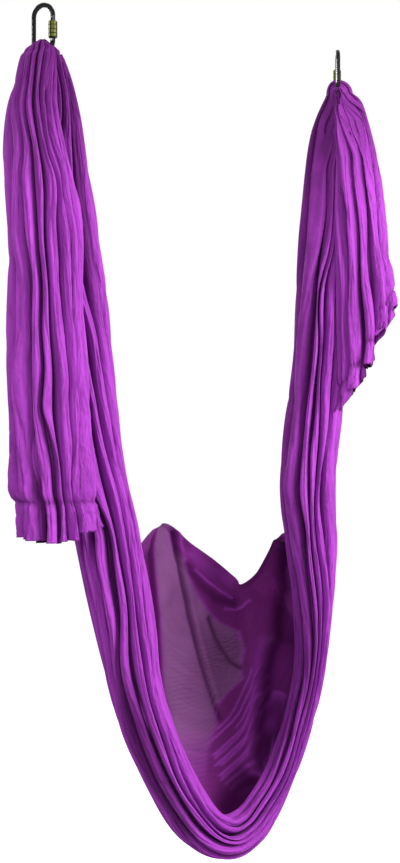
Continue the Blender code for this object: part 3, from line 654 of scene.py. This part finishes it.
def add_reach(run):
    """Adds the distance along the centres."""
    steps = np.linalg.norm(np.diff(run["centre"], axis=0), axis=1)
    run["reach"] = np.concatenate([[0], np.cumsum(steps)])[:, None]


def reach_at(run, place):
    """The distance along a run to a place along its stations."""
    inner = slice(LOOP_FRAMES, len(run["place"]) - LOOP_FRAMES)
    return float(np.interp(place, run["place"][inner, 0], run["reach"][inner, 0]))


def cut(run, low, high, step, fine_ends=()):
    """The frames at even steps between two distances, closer together near the loops."""
    marks = [low]
    while marks[-1] < high - 1e-6:
        near = min((abs(marks[-1] - end) for end in fine_ends), default=1.0)
        marks.append(marks[-1] + min(step, BAR_STEP + STEP_GROWTH * near))
    marks = low + (np.array(marks) - low) * (high - low) / (marks[-1] - low)
    source = run["reach"][:, 0]
    found = {}
    for key, rows in run.items():
        found[key] = np.stack([np.interp(marks, source, column) for column in rows.T], 1)
    for key in ("across", "inward"):
        found[key] = unit(found[key])
    return found


def groove_angles(rows, places):
    """The angles of all the grooves for places along the stations, one row for each place."""
    dense = through(rows, np.linspace(0, len(rows) - 1, GROOVE_STEPS))
    found = [np.interp(places, dense[:, 0], dense[:, 1 + j]) for j in range(FOLDS)]
    return np.radians(np.stack([*found, found[0] + 360], 1))


def crowded(t):
    """A share of a pleat's width, moved towards its nearer end."""
    return t - CROWDING * np.sin(tau * t) / tau


def wall(t):
    """How far down a pleat's wall is at a share of its width: 1 at its ends, 0 in the middle."""
    return np.abs(np.cos(pi * t)) ** WALL_POWER


def fold_shares():
    """The share of a fold's flat cloth at each of its points, sunk, broad and sunk."""
    lengths = []
    for steps, wide, deep in FLAT_PLEATS:
        t = np.array([*steps, 1.0])
        lengths.extend(np.hypot(np.diff(crowded(t) * wide), np.diff(wall(t) * deep)))
    return np.concatenate([[0], np.cumsum(lengths)]) / sum(lengths)


def creases(across, reach, pitches, runs, seed):
    """Sharp wandering creases over the flat cloth, from 1 on a crease to 0 between them."""
    rng = np.random.default_rng(seed)
    total = 0
    for _ in range(CREASE_WAVES):
        pitch = rng.uniform(*pitches)
        run = rng.uniform(*runs) * rng.choice([-1, 1])
        total = total + np.sin(tau * (across / pitch + reach / run) + rng.uniform(0, tau))
    return bell(total / sqrt(CREASE_WAVES / 2) / CREASE_WIDTH)


def shade_folds(run, name):
    """Adds how far each fold is sunk and how much it is shaded."""
    place = run["place"]
    run["sunk"] = np.zeros((len(place), FOLDS))
    run["shade"] = np.zeros((len(place), FOLDS))
    for piece, fold, low, high, sink, shade in SHADED_FOLDS:
        if piece == name:
            rise, fall = [(end - SHADE_FADE, end + SHADE_FADE) for end in (low, high)]
            here = between(rise, fall, place[:, 0])
            run["sunk"][:, fold] += sink * here
            run["shade"][:, fold] += shade * here


def mean_radius(run):
    return (run["width"] + run["depth"])[:, 0] / 2


def fold_forms(run):
    """The grooves' angles and depths, the sunk pleats' widths and the crests, at each frame."""
    reach = run["reach"][:, 0]
    wobble = np.radians(drift(reach, FOLDS + 1, *GROOVE_DRIFT))
    wobble[:, -1] = wobble[:, 0]
    sunk = np.minimum(MOST_SUNK, PLEAT_DEPTH / mean_radius(run))[:, None]
    sunk = np.clip(sunk * (1 + drift(reach, FOLDS + 1, *SUNK_DRIFT)), *SUNK_LIMITS)
    fade = ease(FADE_LIMITS, drift(reach, FOLDS + 1, *FADE_DRIFT))
    if "smooth" in run:
        near = bell((np.degrees(run["grooves"]) - NEAR_ANGLE) / SMOOTH_ANGLE)
        fade = np.maximum(fade, run["smooth"] * near)
    fade[:, 0] = 0
    valley = 1 - sunk * lerp(1.0, FADED_DEPTH, fade)
    valley[:, -1] = valley[:, 0]
    gap = np.clip(GAP + drift(reach, FOLDS + 1, *GAP_DRIFT), *GAP_LIMITS)
    crest = 1 + CREST_RISE + drift(reach, FOLDS, *CREST_DRIFT) - run["sunk"]
    return run["grooves"] + wobble, valley, gap, crest, drift(reach, FOLDS, *TILT_DRIFT)


def ring(run, first, last):
    """Angle, radius share, flat share and painted shade of each point, for folds first to last."""
    grooves, valley, gap, crest, tilt = fold_forms(run)
    share = fold_shares()
    angles, radii, shares, steady, shade = [], [], [], [], []
    for j in range(first, last):
        low, high = grooves[:, j], grooves[:, j + 1]
        wide = high - low
        inner = [low, low + gap[:, j] * wide, high - gap[:, j + 1] * wide, high]
        count = 0
        for pleat, steps in enumerate((SUNK_STEPS, BROAD_STEPS, SUNK_STEPS)):
            broad = pleat == 1
            if j == last - 1 and pleat == 2:
                steps = (*steps, 1.0)
            start, width = inner[pleat], inner[pleat + 1] - inner[pleat]
            for t in steps:
                along = crowded(t)
                bottom = valley[:, j + (t > 0.5 if broad else pleat == 2)]
                top = bottom + SUNK_SHARE * (1 - bottom)
                if broad:
                    off_middle = 2 * along - 1
                    top = crest[:, j] * (1 - CREST_DROOP * width * abs(off_middle) ** DROOP_POWER)
                    top = top * (1 + tilt[:, j] * off_middle)
                angles.append(start + width * along)
                steady.append((low + high) / 2 if broad else angles[-1])
                radii.append(top - (top - bottom) * wall(t))
                shade.append(run["shade"][:, j] * broad)
                shares.append((j + share[count]) / FOLDS)
                count += 1
    shares = np.array(shares)
    # How dark each point is painted: the painted shade of grooves and creases, of the packed cloth
    # under the bars and of the shaded folds
    radii, light = creased_ring(run, np.stack(radii, 1), shares)
    return {
        "angles": np.stack(angles, 1),
        "radii": radii,
        "steady": np.stack(steady, 1),
        "shares": shares,
        "deep": 1 - light * (1 - run["packed"]) * (1 - np.stack(shade, 1)),
    }


def creased_ring(run, radii, shares):
    """The radius shares with creases and puckers pressed in, and how much of each point's colour
    the painted shade of grooves and creases leaves.
    """
    reach = run["reach"]
    outer = ease(OUTER_RADII, radii)
    across = shares[None] * CLOTH_WIDTH
    creased = CREASE_HEIGHT * creases(across, reach, *CREASES)
    if "pucker" in run:
        fine = creases(across, reach, *PUCKERS)
        creased = creased + run["pucker"] * PUCKER_HEIGHT * fine + SEAM_PINCH * run["pinch"]
    deep = 1 - ease(DEEP_RADII, radii)
    deep = deep + CREASE_SHADE * outer * creased / CREASE_HEIGHT
    return radii - outer * creased / mean_radius(run)[:, None], 1 - np.clip(deep, 0, 1)


def ring_points(run, folds):
    """Points of the cloth on the ring round each frame's centre."""
    angles, radii = folds["angles"], folds["radii"]
    wide = run["width"]
    inner = run["depth"] * radii * np.sin(angles)
    if "hook" in run:
        near = ease((run["hook_from"], HOOK_TO), -radii * np.cos(angles))
        away = (BUNDLE_INNER + run["depth"] + inner) * run["hook"] * near
        inner = inner - run["limit"] * (1 - np.exp(-away / run["limit"]))
        wide = np.where(np.cos(angles) < 0, run["near"], wide)
    across = run["across"][:, None] * (wide * radii * np.cos(angles))[:, :, None]
    inward = run["inward"][:, None] * inner[:, :, None]
    lift = np.zeros_like(inward)
    stepped = run["depth"] * radii * np.sin(folds["steady"])
    far = FAR_RISE * ease(FAR_SIDE, np.sin(folds["steady"]))
    lift[:, :, 2] = run["slant"] * (lerp(inner, stepped, STEPPED) + far)
    return run["centre"][:, None] + across + inward + lift


def grid_object(name, points, shares, reach, material, painted_tones):
    """A sheet through rows of points, with its flat place in metres as its UV map."""
    rows, columns = points.shape[:2]
    index = np.arange(rows * columns).reshape(rows, columns)
    corners = [index[:-1, :-1], index[:-1, 1:], index[1:, 1:], index[1:, :-1]]
    faces = np.stack([part.ravel() for part in corners], 1)
    mesh = bpy.data.meshes.new(name)
    mesh.from_pydata(points.reshape(-1, 3).tolist(), [], faces.tolist())
    flat = np.zeros((rows, columns, 2))
    flat[:, :, 0] = shares * CLOTH_WIDTH
    flat[:, :, 1] = np.broadcast_to(reach.reshape(rows, -1), (rows, columns))
    layer = mesh.uv_layers.new(name="flat")
    layer.data.foreach_set("uv", flat.reshape(-1, 2)[faces.ravel()].astype(np.float32).ravel())
    for key, values in painted_tones.items():
        painted_tone = mesh.attributes.new(key, "FLOAT", "POINT")
        painted_tone.data.foreach_set("value", values.astype(np.float32).ravel())
    mesh.validate()
    mesh.shade_smooth()
    mesh.materials.append(material)
    return add_object(name, mesh)


def add_object(name, data):
    made = bpy.data.objects.new(name, data)
    bpy.context.scene.collection.objects.link(made)
    return made


def edge_points(places):
    """Points on the panel's top edge for places along the sling."""
    dense = through(PANEL_EDGE, np.linspace(0, len(PANEL_EDGE) - 1, EDGE_STEPS))
    at = [np.interp(places, dense[:, 0], dense[:, k]) for k in (1, 2, 3)]
    return np.stack([at[0] * ANCHOR_SPACING, at[1], lerp(BAR_Z, SEAT_Z, at[2])], 1)


def panel_surface(run):
    """Points of the panel from the back of the roll up to its top edge, how far each row is opened,
    the share of the way up, the share of the cloth's width, and its painted shade."""
    folds = ring(run, ROLL_FOLDS, FOLDS)
    folded = ring_points(run, folds)
    count = folded.shape[1]
    s = np.linspace(0, 1, PANEL_COLUMNS)
    at = s * (count - 1)
    low = np.minimum(at.astype(int), count - 2)
    part = at - low
    folded = folded[:, low] * (1 - part)[:, None] + folded[:, low + 1] * part[:, None]
    deep = folds["deep"][:, low] * (1 - part) + folds["deep"][:, low + 1] * part
    place = run["place"][:, 0]
    top = edge_points(place)
    foot = folded[:, 0]
    span = np.linalg.norm(top - foot, axis=1)
    outward = unit(PANEL_OUTWARD[0] * run["across"] - PANEL_OUTWARD[1] * run["inward"])
    belly = 4 * s * (1 - s) * PANEL_BELLY
    open_sheet = foot[:, None] + (top - foot)[:, None] * s[:, None]
    open_sheet = open_sheet + outward[:, None] * (span[:, None] * belly)[:, :, None]
    opened = between(PANEL_OPENS, PANEL_CLOSES, place)[:, None]
    surface = lerp(folded, open_sheet, opened[:, :, None])
    shares = folds["shares"]
    widths = shares[low] + (shares[low + 1] - shares[low]) * part
    return surface, opened, s, widths, deep * (1 - opened)


def panel_lines():
    """All the lines of the panel, with the ridges of the fan."""
    lines = list(PANEL_LINES)
    for right, up, first, last, tall, painted_tone in FAN_STEPS:
        places = np.linspace(first, last, FAN_POINTS) * (len(FAN_RIDGE) - 1)
        ridge = through(FAN_RIDGE, places) + (right, up)
        lines.append((FAN_WIDTH, tall, painted_tone, ridge))
    return lines


def line_distance(x, z, line):
    """Distance in the x and z plane to the nearest stretch of a line."""
    best = np.full(x.shape, np.inf)
    for (x0, z0), (x1, z1) in zip(line, line[1:]):
        long, tall = x1 - x0, z1 - z0
        share = np.clip(((x - x0) * long + (z - z0) * tall) / (long**2 + tall**2), 0, 1)
        best = np.minimum(best, np.hypot(x - x0 - share * long, z - z0 - share * tall))
    return best


def thin_share(x, z):
    """1 where light comes through the panel's single layer, 0 where cloth lies double."""
    rows = np.array(THIN_SPAN)
    low, high = (np.interp(z, rows[:, 0], rows[:, k]) for k in (1, 2))
    share = ease(THIN_ENDS, z)
    for inside in (x - low, high - x):
        share = share * ease((-THIN_SOFTNESS, THIN_SOFTNESS), inside)
    return share


def waves(rows, x, z):
    """The sum of sine waves, each with its height and how it turns with x and with z."""
    return sum(tall * np.sin(over * x + up * z) for tall, over, up in rows)


def panel_ripples(x, z):
    """Fine ripples over the panel, from 0 in their troughs to 1, and their strength."""
    start, bend = RIPPLE_TURN
    turn = bend * np.clip(x - start, 0, None) ** 2 * ease(RIPPLE_TURN_Z, z)
    phase = pi * (z - turn + waves(RIPPLE_WAVER, x, z)) / RIPPLE_PITCH
    share, pitch, lean = SECOND_RIPPLE
    ripple = FIRST_RIPPLE * (1 - np.abs(np.sin(phase)))
    ripple = ripple + share * (1 - np.abs(np.sin(pitch * phase + lean * x)))
    strength = lerp(*RIPPLE_STRENGTHS, ease(RIPPLE_STRENGTH_Z, z))
    right = ease(RIPPLE_RIGHT, x) * ease(RIPPLE_RIGHT_Z, z)
    strength = np.maximum(strength, right) * lerp(RIPPLE_DOUBLE, 1, thin_share(x, z))
    strength = strength * (1 - ease(RIPPLE_STOP, x))
    return ripple, strength * (RIPPLE_MEAN + waves(RIPPLE_SWELL, x, z))


def panel_forms(points, s):
    """Height of the panel's creases, double part, rolled top edge and ripples in metres, its share
    of single layer with painted light, its painted shade where it hangs double, and its painted
    shade in creases and ripples."""
    x, z = points[:, :, 0], points[:, :, 2]
    thin = thin_share(x, z)
    # Painted shade where the cloth hangs double
    double_shade = 1 - thin
    ripple, strength = panel_ripples(x, z)
    height = np.zeros(x.shape)
    # Painted shade in the ripples' troughs
    deep = RIPPLE_SHADE * strength * (1 - ripple) ** 2
    for wide, tall, painted_tone, line in panel_lines():
        near = bell(line_distance(x, z, line) / wide)
        height += tall * near
        # Dark lines paint shade into the creases; light lines take away the painted shade of the
        # double part, as painted highlights
        if painted_tone > 0:
            deep = np.maximum(deep, painted_tone * near)
        else:
            double_shade = double_shade * (1 + painted_tone * near)
    height += DOUBLE_STEP * (1 - thin)
    height += ROLLED_EDGE * ease(ROLLED_SPAN, s)[None]
    return height + ripple * strength * RIPPLE_HEIGHT, thin, double_shade, deep


def normals_of(points):
    along = np.gradient(points, axis=0)
    over = np.gradient(points, axis=1)
    return unit(np.cross(along, over) + 1e-12)


def new_material(name):
    material = bpy.data.materials.new(name)
    material.use_nodes = True
    tree = material.node_tree
    return material, tree, tree.nodes["Principled BSDF"]


def feed(tree, node, inputs):
    """Gives a node's inputs their values, or links them where the value is another output."""
    for key, value in inputs.items():
        if isinstance(value, bpy.types.NodeSocket):
            tree.links.new(value, node.inputs[key])
        else:
            node.inputs[key].default_value = value


def add_node(tree, kind, inputs, **settings):
    node = tree.nodes.new(kind)
    for key, value in settings.items():
        setattr(node, key, value)
    feed(tree, node, inputs)
    return node


def math_node(tree, operation, first, second):
    return add_node(tree, "ShaderNodeMath", {0: first, 1: second}, operation=operation).outputs[0]


def noise(tree, coordinate, scale, detail, rough):
    """Noise on the coordinate stretched by scale, as a value from 0 to 1."""
    mapping = add_node(tree, "ShaderNodeMapping", {"Vector": coordinate, "Scale": scale})
    inputs = {"Vector": mapping.outputs[0], "Scale": 1.0, "Detail": detail, "Roughness": rough}
    return add_node(tree, "ShaderNodeTexNoise", inputs).outputs["Fac"]


def attribute(tree, name):
    return add_node(tree, "ShaderNodeAttribute", {}, attribute_name=name).outputs["Fac"]


def colour_mix(tree, first, second, share, blend="MIX"):
    """A mix of two colours by a share."""
    inputs = {"A": first, "B": second, "Factor": share}
    mix = add_node(tree, "ShaderNodeMix", inputs, data_type="RGBA", blend_type=blend)
    return mix.outputs["Result"]


def colour_ramp(tree, value, stops):
    """The colour for a value between two stops, each a place and a colour."""
    ramp = add_node(tree, "ShaderNodeValToRGB", {0: value})
    for element, (place, colour) in zip(ramp.color_ramp.elements, stops):
        element.position = place
        element.color = colour
    return ramp.outputs[0]


def bump(tree, height):
    return add_node(tree, "ShaderNodeBump", {"Distance": 1.0, "Height": height}).outputs[0]


def cloth_material(name, colour, painted_light_colour, painted_shade_colour, crinkle):
    """Fine nylon tricot: long crinkles, short cross creases and a fine knit, with a soft sheen."""
    material, tree, shader = new_material(name)
    flat = add_node(tree, "ShaderNodeUVMap", {}, uv_map="flat").outputs[0]
    long_crinkle = noise(tree, flat, *CRINKLES)
    cross_crease = noise(tree, flat, *CROSS_CREASES)
    weave = {"Vector": flat, **KNIT}
    knit = add_node(tree, "ShaderNodeTexWave", weave, wave_type="BANDS", bands_direction="X")
    height = math_node(tree, "MULTIPLY", long_crinkle, CRINKLE_HEIGHT * crinkle)
    fine = ((cross_crease, CROSS_HEIGHT * crinkle), (knit.outputs["Fac"], KNIT_HEIGHT))
    for texture, tall in fine:
        height = math_node(tree, "ADD", height, math_node(tree, "MULTIPLY", texture, tall))
    # Painted light where one layer of the panel lets light through, and painted shade where it
    # hangs double
    base = colour_mix(tree, colour, painted_light_colour, attribute(tree, "thin"))
    base = colour_mix(tree, base, painted_shade_colour, attribute(tree, "double_shade"))
    # Painted shade deep in the grooves and creases, on the packed cloth under the bars and on the
    # shaded folds
    deep = math_node(tree, "MULTIPLY", attribute(tree, "deep"), GROOVE_SHADE_SHARE)
    base = colour_mix(tree, base, GROOVE_SHADE_COLOUR, deep)
    # Painted shade in the crinkles' low parts, from the same noise as their bump
    painted_tone = colour_ramp(tree, long_crinkle, CRINKLE_SHADE_TONES)
    base = colour_mix(tree, base, painted_tone, 1.0, "MULTIPLY")
    feed(tree, shader, {"Base Color": base, "Normal": bump(tree, height), **CLOTH_FINISH})
    return material


def metal_material(name, colour, roughness, metallic, grain):
    """Metal with fine turning marks and a little wear in its gloss."""
    material, tree, shader = new_material(name)
    place = add_node(tree, "ShaderNodeTexCoord", {}).outputs["Object"]
    marks = noise(tree, place, *MARKS)
    patches = noise(tree, place, *PATCHES)
    low, high = (roughness * share for share in ROUGHNESS_SPREAD)
    span = {"Value": patches, "To Min": low, "To Max": high}
    rough = add_node(tree, "ShaderNodeMapRange", span).outputs[0]
    dark, light = [(*[min(share * value, 1) for value in colour], 1) for share in COLOUR_SPREAD]
    feed(tree, shader, {
        "Base Color": colour_ramp(tree, patches, ((0.0, dark), (1.0, light))),
        "Normal": bump(tree, math_node(tree, "MULTIPLY", marks, grain)),
        "Roughness": rough,
        "Metallic": metallic,
        "Specular IOR Level": METAL_SPECULAR,
    })
    return material


def close_up(run, bar_reach):
    """Presses the right strand and tail together, and hooks their near ends round the wire."""
    away = np.abs(run["reach"] - bar_reach)
    run["hook"] = HOOK * (1 - ease(HOOK_SPAN, away))
    run["limit"] = lerp(*HOOK_LIMITS, ease(HOOK_LIMIT_SPAN, away))
    run["hook_from"] = lerp(*HOOK_FROM, ease(HOOK_FROM_SPAN, away))
    run["smooth"] = 1 - ease(SMOOTH_SPAN, away)
    in_front = 1 - ease(FRONT_SPAN, away)
    run["near"] = np.maximum(run["width"], lerp(run["width"], RIGHT_FRONT_REACH, in_front))
    closed = ease(CLOSING_START, away)
    closed = closed * (1 - ease(CLOSING_END, bar_reach - run["reach"]))
    run["centre"] = run["centre"] - run["inward"] * (CLOSING * closed)
    run["depth"] = run["depth"] + CLOSING * closed


def shape_hem(points, folds, name):
    """Ruffles the hem, lifts its lower edge in scallops and rolls the edge. Paints shade on the
    roll.
    """
    down = np.linspace(0, 1, len(points))[:, None]
    steady = folds["steady"]
    lift = waves(SCALLOPS, steady, 1) * down**2
    if name == "right_hem":
        lift = lift + waves(RIGHT_HEM_WAVES, steady, 1) * down
    if name == "left_hem":
        risen = between(HEM_RISES, HEM_FALLS, np.degrees(steady) % 360)
        lift = lift + LEFT_HEM_RISE * down * risen
    ruffle = np.sin(tau * folds["shares"] * CLOTH_WIDTH / RUFFLE_PITCH + RUFFLE_LEAN * down)
    edge = ease(HEM_EDGE, down)
    out = RUFFLE_HEIGHTS[name] * ruffle * down + HEM_ROLL * edge
    points = points + normals_of(points) * out[:, :, None]
    points[:, :, 2] += lift
    folds["deep"] = np.maximum(folds["deep"], HEM_ROLL_SHADE * edge)
    return points


def cloth_runs():
    """Frames of the left tail, the sling and the right tail, each from the top of a bar."""
    sling_rows = sling_stations()
    left = joined(half_loop("left", "tail"), station_frames(tail_stations("left"), 1))
    sling = joined(
        half_loop("left", "strand"),
        station_frames(sling_rows, 0),
        turned_round(half_loop("right", "strand", len(sling_rows) - 1)),
    )
    right = joined(half_loop("right", "tail"), station_frames(tail_stations("right"), -1))
    grooves = (LEFT_TAIL_GROOVES, SLING_GROOVES, RIGHT_TAIL_GROOVES)
    for run, rows in zip((left, sling, right), grooves):
        add_reach(run)
        run["grooves"] = groove_angles(rows, run["place"][:, 0])
    return left, sling, right


def pucker_seam(run, seam):
    """Adds how much the cloth puckers and is drawn in near a hem's seam."""
    away = np.abs(run["reach"] - seam)
    broad = PUCKER_BROAD * (1 - ease(PUCKER_SPAN, away))
    run["pucker"] = broad + PUCKER_NEAR * bell(away / PUCKER_LENGTH)
    run["pinch"] = bell(away / SEAM_LENGTH)


def cloth_pieces(left, sling, right):
    """Frames of the seven gathered pieces, with distances from the top of the left bar."""
    left_seam, right_seam = reach_at(left, LEFT_SEAM), reach_at(right, RIGHT_SEAM)
    left_join, right_join = reach_at(sling, LEFT_JOIN), reach_at(sling, RIGHT_JOIN)
    left_end, end, right_end = (float(run["reach"][-1, 0]) for run in (left, sling, right))
    pieces = {
        "left_tail": cut(left, 0, left_seam, ROW_STEP, (0.0,)),
        "left_hem": cut(left, left_seam, left_end, HEM_STEP),
        "left_strand": cut(sling, 0, left_join, ROW_STEP, (0.0,)),
        "seat": cut(sling, left_join, right_join, ROW_STEP),
        "right_strand": cut(sling, right_join, end, ROW_STEP, (end,)),
        "right_tail": cut(right, 0, right_seam, ROW_STEP, (0.0,)),
        "right_hem": cut(right, right_seam, right_end, HEM_STEP),
    }
    for name, run in pieces.items():
        shade_folds(run, name)
        away = np.abs(run["reach"] - (end if name == "right_strand" else 0))
        run["packed"] = PACKED_SHADE * (1 - ease(PACKED_SPAN, away)) * (name != "seat")
    for part in ("tail", "hem"):
        left_run, right_run = pieces[f"left_{part}"], pieces[f"right_{part}"]
        pucker_seam(left_run, left_seam)
        pucker_seam(right_run, right_seam)
        left_run["reach"] = -left_run["reach"]
        right_run["reach"] = end + right_run["reach"]
    for name in ("right_strand", "right_tail", "right_hem"):
        close_up(pieces[name], end)
    return pieces


def add_piece(name, run, materials):
    """Adds a gathered piece of cloth: a tail, a hem, a strand or the seat."""
    folds = ring(run, 0, ROLL_FOLDS if name == "seat" else FOLDS)
    points = ring_points(run, folds)
    hem = name.endswith("hem")
    if hem:
        points = shape_hem(points, folds, name)
    material = materials["hem" if hem else "cloth"]
    painted_tones = {"deep": folds["deep"]}
    made = grid_object(f"{name}_cloth", points, folds["shares"], run["reach"], material, painted_tones)
    if hem or name == "seat":
        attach(made, "cloth")
    else:
        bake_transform(made)
    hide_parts(*CAD_NODES[name])


def add_panel(sling, material):
    """Adds the one layer that is spread open behind the seat."""
    left_join, right_join = reach_at(sling, LEFT_JOIN), reach_at(sling, RIGHT_JOIN)
    run = cut(sling, left_join, right_join, PANEL_ROW_STEP)
    shade_folds(run, "panel")
    run["packed"] = np.zeros_like(run["reach"])
    surface, opened, s, shares, deep = panel_surface(run)
    reach = run["reach"][:, 0]
    height, thin, double_shade, creased = panel_forms(surface, s)
    surface = surface + normals_of(surface) * (height * opened)[:, :, None]
    # Painted shade of the panel's creases and ripples, painted light where it is one layer and
    # painted shade where it hangs double, where it is opened
    deep = np.maximum(deep, creased * opened)
    painted_tones = {"deep": deep, "thin": thin * opened, "double_shade": double_shade * opened}
    made = grid_object("panel_cloth", surface, shares, reach, material, painted_tones)
    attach(made, "cloth")
    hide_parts("back_panel")


def add_cloth():
    materials = {name: cloth_material(name, *look) for name, look in CLOTH_LOOKS.items()}
    left, sling, right = cloth_runs()
    for name, run in cloth_pieces(left, sling, right).items():
        add_piece(name, run, materials)
    add_panel(sling, materials["panel"])


def add_stage():
    """A pale floor below the hammock, white to the camera, with the object's shadow on it."""
    mesh = bpy.data.meshes.new("floor")
    half = FLOOR_HALF_SIZE
    corners = [(-half, -half, 0), (half, -half, 0), (half, half, 0), (-half, half, 0)]
    mesh.from_pydata(corners, [], [(0, 1, 2, 3)])
    floor = add_object("floor", mesh)
    floor.location.z = FLOOR_Z
    material, tree, shader = new_material("floor")
    feed(tree, shader, {
        "Base Color": FLOOR_COLOUR,
        "Roughness": 1.0,
        "Specular IOR Level": 0.0,
        "Emission Color": (1, 1, 1, 1),
        "Emission Strength": math_node(tree, "MULTIPLY", white_to_camera(tree), FLOOR_GLOW),
    })
    mesh.materials.append(material)


def white_to_camera(tree):
    """1 for rays from the camera, for reflections and through glass, and else 0."""
    path = add_node(tree, "ShaderNodeLightPath", {})
    seen = math_node(tree, "MAXIMUM", path.outputs["Is Camera Ray"], path.outputs["Is Glossy Ray"])
    return math_node(tree, "MAXIMUM", seen, path.outputs["Is Transmission Ray"])


def add_world():
    world = bpy.data.worlds.new("studio")
    bpy.context.scene.world = world
    world.use_nodes = True
    tree = world.node_tree
    seen = math_node(tree, "MULTIPLY", white_to_camera(tree), 1 - AMBIENT)
    strength = math_node(tree, "ADD", seen, AMBIENT)
    feed(tree, tree.nodes["Background"], {"Color": (1, 1, 1, 1), "Strength": strength})


def add_lamp(name, place, target, size, power):
    lamp = bpy.data.lights.new(name, "AREA")
    lamp.size = size
    lamp.energy = power
    holder = add_object(name, lamp)
    holder.location = place
    holder.rotation_euler = (Vector(target) - Vector(place)).to_track_quat("-Z", "Y").to_euler()


def add_camera():
    data = bpy.data.cameras.new("camera")
    data.sensor_width = SENSOR
    data.lens = FOCAL_PIXELS / IMAGE_HEIGHT * SENSOR
    camera = add_object("camera", data)
    camera.location = CAMERA_PLACE
    camera.rotation_euler = (pi / 2, 0, radians(CAMERA_TURN))
    bpy.context.scene.camera = camera


def dress_metal(frame):
    """Gives the CAD's metal pieces their materials."""
    looks = {name: metal_material(name, *values) for name, values in METALS.items()}
    for row in frame["record"]["subparts"]:
        look = looks.get(row["material_slot"])
        if look:
            mesh = frame["nodes"][row["node"]].data
            mesh.materials.clear()
            mesh.materials.append(look)


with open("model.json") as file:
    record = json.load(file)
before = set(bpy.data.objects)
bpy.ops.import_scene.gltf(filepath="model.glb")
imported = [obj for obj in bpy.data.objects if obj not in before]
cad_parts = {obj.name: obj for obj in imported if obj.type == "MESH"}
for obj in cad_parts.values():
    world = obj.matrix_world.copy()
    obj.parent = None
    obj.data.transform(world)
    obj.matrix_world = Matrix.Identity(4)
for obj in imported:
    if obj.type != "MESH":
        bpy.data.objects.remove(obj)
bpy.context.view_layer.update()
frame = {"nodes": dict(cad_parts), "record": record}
bpy.context.scene.view_settings.view_transform = "Standard"
add_camera()
add_cloth()
dress_metal(frame)
add_stage()
add_world()
for name, values in LAMPS.items():
    add_lamp(name, *values)
